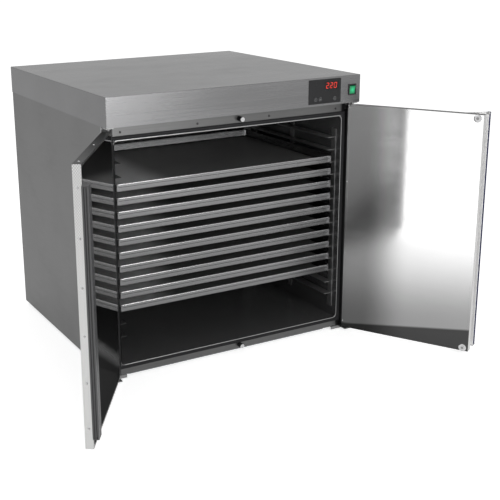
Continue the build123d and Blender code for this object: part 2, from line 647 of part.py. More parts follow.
with BuildPart() as pull_caps:
    for low, high in ((DOOR_LOW, pull_z[0]), (pull_z[1], DOOR_HIGH)):
        prism(
            (
                pull_point(PULL_ROOT, 0),
                pull_point(PULL_TIP + GRIP_WIDTH / 2, PULL_REACH - GRIP_LENGTH),
                pull_point(PULL_TIP - GRIP_WIDTH, PULL_REACH - GRIP_LENGTH),
                pull_point(PULL_TIP - GRIP_WIDTH, PULL_REACH),
                pull_point(PULL_TIP + PULL_SHEET, PULL_REACH),
                pull_point(PULL_ROOT + PULL_FLANGE, 0),
            ),
            (low, high),
            RIGHT_DOOR,
        )
save(pull_caps, "pull_caps")

# Catches

with BuildPart() as catch_magnets:
    for height in CATCH_HEIGHTS:
        rod(front_plane(CATCH_PLACE, height, CATCH_FACE), CATCH_RADIUS, FRAME_SETBACK - CATCH_FACE)
save(catch_magnets, "catch_magnets")

with BuildPart() as strikers:
    for height in CATCH_HEIGHTS:
        rod(wall_plane(1, RIGHT_DOOR, CATCH_PLACE - HINGE_X, DOOR_INNER, height, "y"), STRIKER_RADIUS,
            STRIKER_PROUD)
save(strikers, "strikers")

# Hinges: a pin welded to a bracket at the top and bottom of each door

with BuildPart() as hinge_brackets:
    for side in (-1, 1):
        arm_x = (side * (HINGE_X - HINGE_ARM), side * (HINGE_X + HINGE_ARM))
        foot_x = (side * (HINGE_X + HINGE_ARM), side * (HINGE_X + HINGE_ARM - BRACKET_LENGTH))
        arm_y = (PIVOT_FROM_FRONT - HINGE_ARM, FRAME_SETBACK)
        block(arm_x, arm_y, (FASCIA_BOTTOM - HINGE_PLATE, FASCIA_BOTTOM))
        block(arm_x, (FRAME_SETBACK - HINGE_PLATE, FRAME_SETBACK),
              (FASCIA_BOTTOM - BRACKET_LEG, FASCIA_BOTTOM - HINGE_PLATE))
        block(arm_x, arm_y, (BASE - HINGE_PLATE, BASE))
        block(foot_x, (FRAME_SETBACK, FRAME_SETBACK + BRACKET_DEPTH), (BASE - HINGE_PLATE, BASE))
        block(foot_x, (FRAME_SETBACK - HINGE_PLATE, FRAME_SETBACK), (BASE - FOOT_FLANGE, BASE))
        block((side * PANEL_OUT, side * (HINGE_X + HINGE_ARM)), (FRAME_SETBACK - BRACKET_EAR, FRAME_SETBACK),
              (FASCIA_BOTTOM - BRACKET_LEG, FASCIA_BOTTOM))
        pin_low = DOOR_HIGH - PIN_ENGAGEMENT
        rod(wall_plane(1, CABINET, side * HINGE_X, PIVOT_FROM_FRONT, pin_low, "z"), PIN_RADIUS,
            FASCIA_BOTTOM - HINGE_PLATE - pin_low)
        rod(wall_plane(1, CABINET, side * HINGE_X, PIVOT_FROM_FRONT, BASE, "z"), PIN_RADIUS,
            DOOR_BOTTOM + PIN_ENGAGEMENT)
save(hinge_brackets, "hinge_brackets")


# Control panel

def panel_plane(x, z, y):
    """A plane facing the back at a depth, with its origin at a place on the control panel."""
    return front_plane(panel_x + x, panel_z + z, y)


def panel_block(centre, width, height, y, mode=Mode.ADD):
    """A block centred on a place on the control panel."""
    x, z = panel_x + centre[0], panel_z + centre[1]
    block((x - width / 2, x + width / 2), y, (z - height / 2, z + height / 2), mode=mode)


with BuildPart() as control_panel:
    with BuildSketch(panel_plane(0, 0, -PANEL_SHEET)):
        RectangleRounded(PANEL_HEIGHT, PANEL_WIDTH, PANEL_CORNER)
    extrude(amount=PANEL_SHEET)
    panel_block(DISPLAY_PLACE, DISPLAY_WIDTH, DISPLAY_HEIGHT, (-PANEL_SHEET, 0), Mode.SUBTRACT)
    for place in KEY_PLACES.values():
        rod(panel_plane(*place, -PANEL_SHEET), KEY_RADIUS + KEY_CLEARANCE, PANEL_SHEET, mode=Mode.SUBTRACT)
    rod(panel_plane(*LAMP_PLACE, -PANEL_SHEET), LAMP_RADIUS + KEY_CLEARANCE, PANEL_SHEET, mode=Mode.SUBTRACT)
save(control_panel, "control_panel")

with BuildPart() as display_window:
    panel_block(DISPLAY_PLACE, DISPLAY_WIDTH - KEY_CLEARANCE, DISPLAY_HEIGHT - KEY_CLEARANCE,
                (DISPLAY_RECESS - PANEL_SHEET, BOARD_SETBACK))
save(display_window, "display_window")

# Each digit is a set of bars named by their place: top, upper, middle, lower and bottom.
bar_across, bar_up = DIGIT_WIDTH / 2 - SEGMENT_WIDTH / 2, DIGIT_HEIGHT / 4
BARS = {
    "top": (0, 2 * bar_up - SEGMENT_WIDTH / 2, True),
    "middle": (0, 0, True),
    "bottom": (0, SEGMENT_WIDTH / 2 - 2 * bar_up, True),
    "upper_left": (-bar_across, bar_up, False),
    "upper_right": (bar_across, bar_up, False),
    "lower_left": (-bar_across, -bar_up, False),
    "lower_right": (bar_across, -bar_up, False),
}
TWO = ("top", "upper_right", "middle", "lower_left", "bottom")
ZERO = ("top", "upper_left", "upper_right", "lower_left", "lower_right", "bottom")
with BuildPart() as display_lights:
    for position, digit in enumerate((TWO, TWO, ZERO)):
        for bar in digit:
            x, z, level_bar = BARS[bar]
            centre = (DISPLAY_PLACE[0] + (position - 1) * DIGIT_PITCH + x, DISPLAY_PLACE[1] + z)
            across = DIGIT_WIDTH - 2 * SEGMENT_WIDTH if level_bar else SEGMENT_WIDTH
            upright = SEGMENT_WIDTH if level_bar else DIGIT_HEIGHT / 2 - SEGMENT_WIDTH
            segment_y = (DISPLAY_RECESS - PANEL_SHEET - SEGMENT_SHEET, DISPLAY_RECESS - PANEL_SHEET)
            panel_block(centre, across, upright, segment_y)
    lamp_proud = PANEL_SHEET + SEGMENT_SHEET
    rod(panel_plane(*LAMP_PLACE, -lamp_proud), LAMP_RADIUS, BOARD_SETBACK + lamp_proud)
save(display_lights, "display_lights")

with BuildPart() as control_board:
    panel_block((0, 0), PANEL_WIDTH + 2 * BOARD_MARGIN, PANEL_HEIGHT + 2 * BOARD_MARGIN,
                (BOARD_SETBACK, BOARD_SETBACK + BOARD_SHEET))
    for x in (-PANEL_WIDTH / 2, PANEL_WIDTH / 2):
        for z in (-PANEL_HEIGHT / 2, PANEL_HEIGHT / 2):
            with BuildSketch(panel_plane(x, z, SHEET)) as spacer:
                RegularPolygon(SPACER_RADIUS, 6)
            extrude(spacer.sketch, amount=BOARD_SETBACK - SHEET)
    for place in KEY_PLACES.values():
        panel_block(place, CONTACT_SIZE, CONTACT_SIZE, (KEY_STEM + 2 * KEY_TRAVEL, BOARD_SETBACK))
save(control_board, "control_board")

for name, place in KEY_PLACES.items():
    with BuildPart() as key:
        rod(panel_plane(*place, -PANEL_SHEET - KEY_PROUD), KEY_RADIUS, PANEL_SHEET + KEY_PROUD + KEY_STEM)
        panel_block(place, KEY_FLANGE, KEY_FLANGE, (KEY_CLEARANCE, KEY_CLEARANCE + KEY_FLANGE_SHEET))
    save(key, name)

# Rocker switch

rocker_half_width = SWITCH_WIDTH / 2 - SWITCH_WALL - ROCKER_CLEARANCE
cavity_width = (switch_x - SWITCH_WIDTH / 2 + SWITCH_WALL, switch_x + SWITCH_WIDTH / 2 - SWITCH_WALL)
cavity_half = min(SWITCH_CAVITY - ROCKER_CLEARANCE, SWITCH_HEIGHT / 2 - SHEET / 2)
cavity_back = ROCKER_PIVOT + ROCKER_HEEL + ROCKER_CLEARANCE
axle_length = rocker_half_width + ROCKER_CLEARANCE + AXLE_END
with BuildPart() as switch_housing:
    block((switch_x - BEZEL_WIDTH / 2, switch_x + BEZEL_WIDTH / 2), (-BEZEL_PROUD, 0),
          (switch_z - BEZEL_HEIGHT / 2, switch_z + BEZEL_HEIGHT / 2))
    block((switch_x - SWITCH_WIDTH / 2, switch_x + SWITCH_WIDTH / 2), (0, SWITCH_DEPTH),
          (switch_z - SWITCH_HEIGHT / 2, switch_z + SWITCH_HEIGHT / 2))
    block(cavity_width, (-BEZEL_PROUD, cavity_back), (switch_z - cavity_half, switch_z + cavity_half),
          mode=Mode.SUBTRACT)
    axle_hole = wall_plane(1, CABINET, switch_x - axle_length, ROCKER_PIVOT, switch_z, "x")
    rod(axle_hole, AXLE_RADIUS + AXLE_CLEARANCE, 2 * axle_length, mode=Mode.SUBTRACT)
save(switch_housing, "switch_housing")

tilt = radians(ROCKER_TILT_DEG)
rocker_plane = Plane(
    origin=(switch_x - rocker_half_width, FRONT + ROCKER_PIVOT, switch_z),
    x_dir=(0, cos(tilt), sin(tilt)),
    z_dir=(1, 0, 0),
)
with BuildPart() as rocker:
    with BuildSketch(rocker_plane) as rocker_outline:
        with BuildLine():
            Polyline(
                (-ROCKER_NOSE, -ROCKER_HALF),
                (ROCKER_DISH - ROCKER_NOSE, 0),
                (-ROCKER_NOSE, ROCKER_HALF),
                (-ROCKER_EDGE, ROCKER_HALF),
                (ROCKER_HEEL, AXLE_RADIUS),
                (ROCKER_HEEL, -AXLE_RADIUS),
                (-ROCKER_EDGE, -ROCKER_HALF),
                close=True,
            )
        make_face()
    extrude(rocker_outline.sketch, amount=2 * rocker_half_width)
    axle_start = switch_x - axle_length + ROCKER_CLEARANCE / 2
    rod(wall_plane(1, CABINET, axle_start, ROCKER_PIVOT, switch_z, "x"), AXLE_RADIUS,
        2 * axle_length - ROCKER_CLEARANCE)
save(rocker, "rocker")

# Electrical parts

with BuildPart() as power_parts:
    deck_top = FASCIA_BOTTOM + SHEET
    for size, from_side in ((TRANSFORMER_SIZE, TRANSFORMER_FROM_SIDE), (RELAY_SIZE, RELAY_FROM_SIDE)):
        x, half_x, half_y = from_side - HALF_WIDTH, size[0] / 2, size[1] / 2
        block((x - half_x, x + half_x), (POWER_SETBACK - half_y, POWER_SETBACK + half_y),
              (deck_top, deck_top + size[2]))
    coil_x, coil_y = TRANSFORMER_FROM_SIDE - HALF_WIDTH, POWER_SETBACK
    coil_half_x, coil_half_y = TRANSFORMER_SIZE[0] / 4, TRANSFORMER_SIZE[1] / 2 + TRANSFORMER_BAND
    block((coil_x - coil_half_x, coil_x + coil_half_x), (coil_y - coil_half_y, coil_y + coil_half_y),
          (deck_top, deck_top + TRANSFORMER_SIZE[2] - TRANSFORMER_BAND / 2))
save(power_parts, "power_parts")

with BuildPart() as mains_inlet:
    flange_x = (inlet_x - INLET_FLANGE[0] / 2, inlet_x + INLET_FLANGE[0] / 2)
    block(flange_x, (BACK_OUT, BACK_OUT + INLET_FLANGE[2]),
          (inlet_z - INLET_FLANGE[1] / 2, inlet_z + INLET_FLANGE[1] / 2))
    block(inlet_width, (INLET_BACK, BACK_OUT), inlet_height)
    recess_y = BACK_OUT + INLET_FLANGE[2]
    recess_x = (inlet_x - INLET_RECESS[0] / 2, inlet_x + INLET_RECESS[0] / 2)
    block(recess_x, (recess_y - INLET_RECESS[2], recess_y),
          (inlet_z - INLET_RECESS[1] / 2, inlet_z + INLET_RECESS[1] / 2), mode=Mode.SUBTRACT)
    for place in (-1, 0, 1):
        pin_x = inlet_x + place * INLET_PIN_PITCH
        block((pin_x - INLET_PIN[0] / 2, pin_x + INLET_PIN[0] / 2),
              (recess_y - INLET_RECESS[2], recess_y - INLET_RECESS[2] + INLET_PIN[2]),
              (inlet_z - INLET_PIN[1] / 2, inlet_z + INLET_PIN[1] / 2))
    divide(("y", recess_y - INLET_RECESS[2]), ("x", recess_x[0]), ("x", recess_x[1]))
save(mains_inlet, "mains_inlet")
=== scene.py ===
import json
import math

import bmesh
import bpy
from mathutils import Matrix, Vector


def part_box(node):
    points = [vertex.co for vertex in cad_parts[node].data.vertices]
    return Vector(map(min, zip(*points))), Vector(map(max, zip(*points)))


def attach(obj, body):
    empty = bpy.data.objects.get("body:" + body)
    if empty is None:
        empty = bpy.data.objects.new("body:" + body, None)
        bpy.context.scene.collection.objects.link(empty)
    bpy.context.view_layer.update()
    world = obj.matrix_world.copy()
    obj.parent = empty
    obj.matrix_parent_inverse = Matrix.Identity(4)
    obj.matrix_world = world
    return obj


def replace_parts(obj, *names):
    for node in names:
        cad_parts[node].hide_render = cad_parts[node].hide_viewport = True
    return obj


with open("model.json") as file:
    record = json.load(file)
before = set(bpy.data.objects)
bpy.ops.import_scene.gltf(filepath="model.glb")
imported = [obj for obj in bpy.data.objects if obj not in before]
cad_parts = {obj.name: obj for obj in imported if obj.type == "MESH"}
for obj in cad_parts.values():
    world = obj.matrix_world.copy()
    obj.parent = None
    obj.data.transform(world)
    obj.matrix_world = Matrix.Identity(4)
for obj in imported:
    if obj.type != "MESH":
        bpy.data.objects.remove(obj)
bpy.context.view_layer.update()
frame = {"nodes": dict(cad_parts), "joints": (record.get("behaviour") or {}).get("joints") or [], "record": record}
nodes = frame["nodes"]
record = frame["record"]
SLOTS = {s["node"]: s["material_slot"] for s in record["subparts"]}
BODY_OF = {n: b for b, members in record["behaviour"]["bodies"].items() for n in members}
HINGES = {j["name"]: j for j in frame["joints"] if j["type"] == "hinge"}


# ---------------------------------------------------------------- node helpers

def socket(tree, name, way, kind, value=None):
    """Adds one named socket to a node group."""
    made = tree.interface.new_socket(name, in_out=way, socket_type=kind)
    if value is not None:
        made.default_value = value


def new_group(name, inputs, outputs):
    """An empty shader node group with its named sockets, and its two end nodes."""
    tree = bpy.data.node_groups.new(name, "ShaderNodeTree")
    for label, kind, value in inputs:
        socket(tree, label, "INPUT", kind, value)
    for label, kind in outputs:
        socket(tree, label, "OUTPUT", kind)
    return tree, tree.nodes.new("NodeGroupInput"), tree.nodes.new("NodeGroupOutput")


def math_node(tree, operation, a, b=None, clamp=False):
    """A Math node fed by sockets or plain numbers."""
    node = tree.nodes.new("ShaderNodeMath")
    node.operation = operation
    node.use_clamp = clamp
    for place, value in enumerate((a, b)):
        if value is None:
            continue
        if isinstance(value, (int, float)):
            node.inputs[place].default_value = value
        else:
            tree.links.new(value, node.inputs[place])
    return node.outputs[0]


def map_range(tree, value, from_low, from_high, to_low, to_high, smooth=False):
    """A clamped Map Range node, straight or eased at both ends, with its ends as numbers or sockets."""
    node = tree.nodes.new("ShaderNodeMapRange")
    node.interpolation_type = "SMOOTHSTEP" if smooth else "LINEAR"
    tree.links.new(value, node.inputs["Value"])
    for label, number in zip(("From Min", "From Max", "To Min", "To Max"), (from_low, from_high, to_low, to_high)):
        if isinstance(number, (int, float)):
            node.inputs[label].default_value = number
        else:
            tree.links.new(number, node.inputs[label])
    return node.outputs["Result"]


def noise(tree, vector, scale, detail=2.0, roughness=0.5):
    """A Noise Texture read at a vector."""
    node = tree.nodes.new("ShaderNodeTexNoise")
    node.inputs["Scale"].default_value = scale
    node.inputs["Detail"].default_value = detail
    node.inputs["Roughness"].default_value = roughness
    tree.links.new(vector, node.inputs["Vector"])
    return node.outputs["Fac"]


def stretched(tree, vector, factors):
    """A vector multiplied along each axis, by numbers or by a socket."""
    node = tree.nodes.new("ShaderNodeVectorMath")
    node.operation = "MULTIPLY"
    tree.links.new(vector, node.inputs[0])
    if isinstance(factors, tuple):
        node.inputs[1].default_value = factors
    else:
        tree.links.new(factors, node.inputs[1])
    return node.outputs[0]


# ---------------------------------------------------------------- shared effects

def make_brushing():
    """Fine parallel scratches left by the polishing belt, with slow changes of tone between passes."""
    tree, start, end = new_group(
        "polishing_belt_grain",
        [("Vector", "NodeSocketVector", None), ("Stretch", "NodeSocketVector", (4.0, 900.0, 900.0)),
         ("Depth", "NodeSocketFloat", 0.5)],
        [("Tone", "NodeSocketFloat"), ("Roughening", "NodeSocketFloat"), ("Height", "NodeSocketFloat")],
    )
    run = stretched(tree, start.outputs["Vector"], start.outputs["Stretch"])
    fine = noise(tree, run, 1.0, 3.0, 0.6)
    passes = noise(tree, stretched(tree, start.outputs["Vector"], (1.6, 7.0, 7.0)), 1.0, 1.0, 0.5)
    centred = math_node(tree, "SUBTRACT", fine, 0.5)
    deep = math_node(tree, "MULTIPLY", centred, start.outputs["Depth"])
    slow = math_node(tree, "MULTIPLY", math_node(tree, "SUBTRACT", passes, 0.5), 0.35)
    tone = math_node(tree, "ADD", math_node(tree, "ADD", deep, slow), 1.0)
    tree.links.new(tone, end.inputs["Tone"])
    rough = math_node(tree, "ADD", math_node(tree, "MULTIPLY", fine, 0.5), math_node(tree, "MULTIPLY", passes, 0.5))
    tree.links.new(rough, end.inputs["Roughening"])
    tree.links.new(fine, end.inputs["Height"])
    return tree


def make_handling():
    """Faint wiped marks and finger traces on a smooth surface."""
    tree, start, end = new_group(
        "handling_marks",
        [("Vector", "NodeSocketVector", None), ("Size", "NodeSocketFloat", 9.0)],
        [("Mask", "NodeSocketFloat")],
    )
    sized = tree.nodes.new("ShaderNodeVectorMath")
    sized.operation = "SCALE"
    tree.links.new(start.outputs["Vector"], sized.inputs[0])
    tree.links.new(start.outputs["Size"], sized.inputs["Scale"])
    wide = noise(tree, sized.outputs[0], 1.0, 4.0, 0.62)
    wiped = noise(tree, stretched(tree, sized.outputs[0], (1.0, 1.0, 4.0)), 1.7, 3.0, 0.6)
    both = math_node(tree, "MULTIPLY", map_range(tree, wide, 0.42, 0.72, 0.0, 1.0),
                     map_range(tree, wiped, 0.38, 0.7, 0.0, 1.0))
    tree.links.new(both, end.inputs["Mask"])
    return tree


def make_moulding():
    """The fine even texture of moulded plastic and rubber."""
    tree, start, end = new_group(
        "moulded_grain",
        [("Vector", "NodeSocketVector", None), ("Fineness", "NodeSocketFloat", 1600.0)],
        [("Tone", "NodeSocketFloat"), ("Height", "NodeSocketFloat")],
    )
    sized = tree.nodes.new("ShaderNodeVectorMath")
    sized.operation = "SCALE"
    tree.links.new(start.outputs["Vector"], sized.inputs[0])
    tree.links.new(start.outputs["Fineness"], sized.inputs["Scale"])
    grain = noise(tree, sized.outputs[0], 1.0, 2.0, 0.5)
    tree.links.new(map_range(tree, grain, 0.3, 0.7, 0.88, 1.12), end.inputs["Tone"])
    tree.links.new(grain, end.inputs["Height"])
    return tree


def make_dimples():
    """Staggered dimples rolled into an upright sheet."""
    tree, start, end = new_group(
        "rolled_dimples",
        [("Vector", "NodeSocketVector", None), ("Pitch", "NodeSocketFloat", 0.006)],
        [("Tone", "NodeSocketFloat"), ("Height", "NodeSocketFloat")],
    )
    parts = tree.nodes.new("ShaderNodeSeparateXYZ")
    tree.links.new(start.outputs["Vector"], parts.inputs[0])
    turns = math_node(tree, "DIVIDE", 2 * math.pi, start.outputs["Pitch"])
    level = math_node(tree, "MULTIPLY", math_node(tree, "ADD", parts.outputs["X"], parts.outputs["Y"]), turns)
    upright = math_node(tree, "MULTIPLY", parts.outputs["Z"], turns)
    dimple = math_node(tree, "MULTIPLY", math_node(tree, "SINE", level), math_node(tree, "SINE", upright))
    tree.links.new(map_range(tree, dimple, -0.8, 0.8, 0.5, 1.22), end.inputs["Tone"])
    tree.links.new(dimple, end.inputs["Height"])
    return tree


def make_painted_light_fade():
    """Painted light and shade: a tone that eases from one value to another across the cabinet."""
    tree, start, end = new_group(
        "painted_light_fade",
        [("Vector", "NodeSocketVector", None), ("Start X", "NodeSocketFloat", 0.0), ("End X", "NodeSocketFloat", 1.0),
         ("Start Tone", "NodeSocketFloat", 1.0), ("End Tone", "NodeSocketFloat", 1.0)],
        [("Tone", "NodeSocketFloat")],
    )
    parts = tree.nodes.new("ShaderNodeSeparateXYZ")
    tree.links.new(start.outputs["Vector"], parts.inputs[0])
    fade = map_range(tree, parts.outputs["X"], *(start.outputs[label] for label in (
        "Start X", "End X", "Start Tone", "End Tone")), smooth=True)
    tree.links.new(fade, end.inputs["Tone"])
    return tree


# Spans of the door linings' painted reflection, darker near the hinge (distance from it) and in a band at the foot
# (height), and of the hinge's haze
HINGE_SPAN = (0.05, 0.2)
HAZE_SPAN = (0.1, 0.2)
BAND_SPAN = (0.024, 0.03)


def make_lining_painted_reflection():
    """A painted reflection on a door lining: darker by the hinge, at the foot and in a band there, standing in for the
    dark things the lining mirrors; and masks for both places.
    """
    tree, start, end = new_group(
        "door_lining_painted_reflection",
        [("Vector", "NodeSocketVector", None), ("Pivot", "NodeSocketVector", (0.0, 0.0, 0.0)),
         ("Hinge Tone", "NodeSocketFloat", 1.0), ("Foot Tone", "NodeSocketFloat", 1.0),
         ("Band Tone", "NodeSocketFloat", 1.0), ("Rise Start", "NodeSocketFloat", 0.0),
         ("Rise End", "NodeSocketFloat", 1.0), ("Slope", "NodeSocketFloat", 0.0)],
        [("Tone", "NodeSocketFloat"), ("Rise", "NodeSocketFloat"), ("Hinge", "NodeSocketFloat")],
    )
    parts = tree.nodes.new("ShaderNodeSeparateXYZ")
    tree.links.new(start.outputs["Vector"], parts.inputs[0])
    flat = tree.nodes.new("ShaderNodeCombineXYZ")
    tree.links.new(parts.outputs["X"], flat.inputs["X"])
    tree.links.new(parts.outputs["Y"], flat.inputs["Y"])
    along = tree.nodes.new("ShaderNodeVectorMath")
    along.operation = "DISTANCE"
    tree.links.new(flat.outputs[0], along.inputs[0])
    tree.links.new(start.outputs["Pivot"], along.inputs[1])
    reach = along.outputs["Value"]
    across = map_range(tree, reach, *HINGE_SPAN, start.outputs["Hinge Tone"], 1.0, smooth=True)
    height = math_node(tree, "SUBTRACT", parts.outputs["Z"], math_node(tree, "MULTIPLY", reach, start.outputs["Slope"]))
    rise = map_range(tree, height, start.outputs["Rise Start"], start.outputs["Rise End"], 0.0, 1.0, smooth=True)
    foot = map_range(tree, rise, 0.0, 1.0, start.outputs["Foot Tone"], 1.0)
    band = map_range(tree, height, *BAND_SPAN, start.outputs["Band Tone"], 1.0)
    tone = math_node(tree, "MULTIPLY", math_node(tree, "MULTIPLY", across, foot), band)
    tree.links.new(tone, end.inputs["Tone"])
    tree.links.new(rise, end.inputs["Rise"])
    tree.links.new(map_range(tree, reach, *HAZE_SPAN, 1.0, 0.0, smooth=True), end.inputs["Hinge"])
    return tree


BRUSHING, HANDLING, MOULDING = make_brushing(), make_handling(), make_moulding()
DIMPLES, PAINTED_LIGHT_FADE, LINING_PAINTED_REFLECTION = make_dimples(), make_painted_light_fade(), make_lining_painted_reflection()


# ---------------------------------------------------------------- materials

def new_material(name):
    """A material with a Principled shader, and its object-space vector."""
    made = bpy.data.materials.new(name)
    made.use_nodes = True
    tree = made.node_tree
    shader = tree.nodes["Principled BSDF"]
    place = tree.nodes.new("ShaderNodeTexCoord")
    return made, tree, shader, place.outputs["Object"]


def use_group(tree, group, vector, **values):
    """Places a shared effect in a material with its own values."""
    node = tree.nodes.new("ShaderNodeGroup")
    node.node_tree = group
    tree.links.new(vector, node.inputs["Vector"])
    for label, value in values.items():
        node.inputs[label].default_value = value
    return node


def turned(tree, vector, turn_deg):
    """The vector turned about Z, so that a door's grain runs along the door."""
    node = tree.nodes.new("ShaderNodeMapping")
    node.inputs["Rotation"].default_value = (0, 0, math.radians(turn_deg))
    tree.links.new(vector, node.inputs["Vector"])
    return node.outputs["Vector"]


def tinted(tree, colour, tone):
    """A colour whose brightness follows a tone."""
    mix = tree.nodes.new("ShaderNodeMix")
    mix.data_type = "RGBA"
    mix.blend_type = "MULTIPLY"
    mix.inputs["Factor"].default_value = 1.0
    mix.inputs["A"].default_value = (*colour, 1)
    grey = tree.nodes.new("ShaderNodeCombineColor")
    for channel in ("Red", "Green", "Blue"):
        tree.links.new(tone, grey.inputs[channel])
    tree.links.new(grey.outputs["Color"], mix.inputs["B"])
    return mix.outputs["Result"]


def add_bump(tree, shader, height, strength, distance):
    """A Bump node that feeds the shader's normal."""
    bump = tree.nodes.new("ShaderNodeBump")
    bump.inputs["Strength"].default_value = strength
    bump.inputs["Distance"].default_value = distance
    tree.links.new(height, bump.inputs["Height"])
    tree.links.new(bump.outputs["Normal"], shader.inputs["Normal"])


def brushed_steel(name, colour, roughness, stretch, depth=0.5, spread=0.12, turn_deg=0.0, edge=0.65):
    """Belt-polished stainless steel."""
    made, tree, shader, vector = new_material(name)
    if turn_deg:
        vector = turned(tree, vector, turn_deg)
    grain = use_group(tree, BRUSHING, vector, Stretch=stretch, Depth=depth)
    marks = use_group(tree, HANDLING, vector, Size=7.0)
    tree.links.new(tinted(tree, colour, grain.outputs["Tone"]), shader.inputs["Base Color"])
    rough = map_range(tree, grain.outputs["Roughening"], 0.3, 0.7, roughness - spread / 2, roughness + spread / 2)
    wiped = math_node(tree, "MULTIPLY", marks.outputs["Mask"], 0.06)
    tree.links.new(math_node(tree, "ADD", rough, wiped, clamp=True), shader.inputs["Roughness"])
    shader.inputs["Metallic"].default_value = 1.0
    shader.inputs["Specular Tint"].default_value = (*[edge] * 3, 1)
    add_bump(tree, shader, grain.outputs["Height"], 0.12, 0.0002)
    return made


def polished_steel(name, colour, roughness, marks_size=9.0, tone=0.05, fade=None, metal=1.0, edge=1.0):
    """Polished stainless steel with faint wiped marks, and a painted light-and-shade tone that may fade from left to
    right.
    """
    made, tree, shader, vector = new_material(name)
    marks = use_group(tree, HANDLING, vector, Size=marks_size)
    shade = map_range(tree, marks.outputs["Mask"], 0.0, 1.0, 1.0, 1.0 - tone)
    if fade:
        across = use_group(tree, PAINTED_LIGHT_FADE, vector, **dict(zip(("Start X", "End X", "Start Tone", "End Tone"), fade)))
        shade = math_node(tree, "MULTIPLY", shade, across.outputs["Tone"])
    tree.links.new(tinted(tree, colour, shade), shader.inputs["Base Color"])
    tree.links.new(map_range(tree, marks.outputs["Mask"], 0.0, 1.0, roughness, roughness + 0.02),
                   shader.inputs["Roughness"])
    shader.inputs["Metallic"].default_value = metal
    shader.inputs["Specular Tint"].default_value = (*[edge] * 3, 1)
    return made


def door_mirror(name, colour, turn_deg, pivot, hinge_tone, foot_tone, band_tone, rise_span, slope,
                foot_metal=1.0, hinge_haze=0.0):
    """A polished door lining with a painted reflection: darker by its hinge, at its foot and in a band there; hazier by
    its hinge.
    """
    made, tree, shader, vector = new_material(name)
    marks = use_group(tree, HANDLING, vector, Size=5.0)
    lining_reflection = use_group(tree, LINING_PAINTED_REFLECTION, vector, **{
        "Pivot": (*pivot, 0), "Hinge Tone": hinge_tone, "Foot Tone": foot_tone, "Band Tone": band_tone,
        "Rise Start": rise_span[0], "Rise End": rise_span[1], "Slope": slope})
    wiped = map_range(tree, marks.outputs["Mask"], 0.0, 1.0, 1.0, 0.97)
    shade = math_node(tree, "MULTIPLY", lining_reflection.outputs["Tone"], wiped)
    tree.links.new(tinted(tree, colour, shade), shader.inputs["Base Color"])
    rough = math_node(tree, "ADD", math_node(tree, "MULTIPLY", marks.outputs["Mask"], 0.05), 0.045)
    if hinge_haze:
        rough = math_node(tree, "ADD", rough, math_node(tree, "MULTIPLY", lining_reflection.outputs["Hinge"], hinge_haze))
    tree.links.new(rough, shader.inputs["Roughness"])
    # A less metallic foot keeps the painted dark reflection there dark
    if foot_metal < 1.0:
        metal = map_range(tree, lining_reflection.outputs["Rise"], 0.0, 1.0, foot_metal, 1.0)
        tree.links.new(metal, shader.inputs["Metallic"])
    else:
        shader.inputs["Metallic"].default_value = 1.0
    shader.inputs["Specular IOR Level"].default_value = 0.0
    grain = use_group(tree, BRUSHING, turned(tree, vector, turn_deg), Stretch=UP, Depth=0.5)
    add_bump(tree, shader, grain.outputs["Height"], 0.03, 0.0001)
    return made


def embossed_steel(name, colour, roughness, turn_deg, pitch):
    """Sheet rolled with a fine dimple pattern, so that it doesn't show finger marks."""
    made, tree, shader, vector = new_material(name)
    dimples = use_group(tree, DIMPLES, turned(tree, vector, turn_deg), Pitch=pitch)
    marks = use_group(tree, HANDLING, vector, Size=7.0)
    tree.links.new(tinted(tree, colour, dimples.outputs["Tone"]), shader.inputs["Base Color"])
    worn = map_range(tree, marks.outputs["Mask"], 0.0, 1.0, roughness, roughness + 0.03)
    tree.links.new(worn, shader.inputs["Roughness"])
    shader.inputs["Metallic"].default_value = 1.0
    add_bump(tree, shader, dimples.outputs["Height"], 0.25, 0.0003)
    return made


def moulded(name, colour, roughness, fineness=1600.0, bump=0.25, coat=0.0, sheen=0.5):
    """Moulded plastic or rubber."""
    made, tree, shader, vector = new_material(name)
    grain = use_group(tree, MOULDING, vector, Fineness=fineness)
    marks = use_group(tree, HANDLING, vector, Size=30.0)
    tree.links.new(tinted(tree, colour, grain.outputs["Tone"]), shader.inputs["Base Color"])
    tree.links.new(map_range(tree, marks.outputs["Mask"], 0.0, 1.0, roughness, roughness + 0.12),
                   shader.inputs["Roughness"])
    shader.inputs["Coat Weight"].default_value = coat
    shader.inputs["Specular IOR Level"].default_value = sheen
    add_bump(tree, shader, grain.outputs["Height"], bump, 0.0001)
    return made


def lit(name, colour, glow, strength):
    """Lit bars behind a tinted lens."""
    made, tree, shader, vector = new_material(name)
    grain = use_group(tree, MOULDING, vector, Fineness=900.0)
    tree.links.new(tinted(tree, colour, grain.outputs["Tone"]), shader.inputs["Base Color"])
    tree.links.new(tinted(tree, glow, grain.outputs["Tone"]), shader.inputs["Emission Color"])
    shader.inputs["Emission Strength"].default_value = strength
    shader.inputs["Roughness"].default_value = 0.4
    return made


def glowing_lens(name, colour, glow, strength, centre, reach):
    """A tinted lens lit from behind, brightest over its lamp."""
    made, tree, shader, vector = new_material(name)
    away = tree.nodes.new("ShaderNodeVectorMath")
    away.operation = "DISTANCE"
    tree.links.new(vector, away.inputs[0])
    away.inputs[1].default_value = centre
    near = map_range(tree, away.outputs["Value"], 0.0, reach, 1.0, 0.12)
    grain = use_group(tree, MOULDING, vector, Fineness=900.0)
    tree.links.new(tinted(tree, colour, grain.outputs["Tone"]), shader.inputs["Base Color"])
    tree.links.new(tinted(tree, glow, near), shader.inputs["Emission Color"])
    shader.inputs["Emission Strength"].default_value = strength
    shader.inputs["Roughness"].default_value = 0.25
    shader.inputs["Coat Weight"].default_value = 0.5
    return made


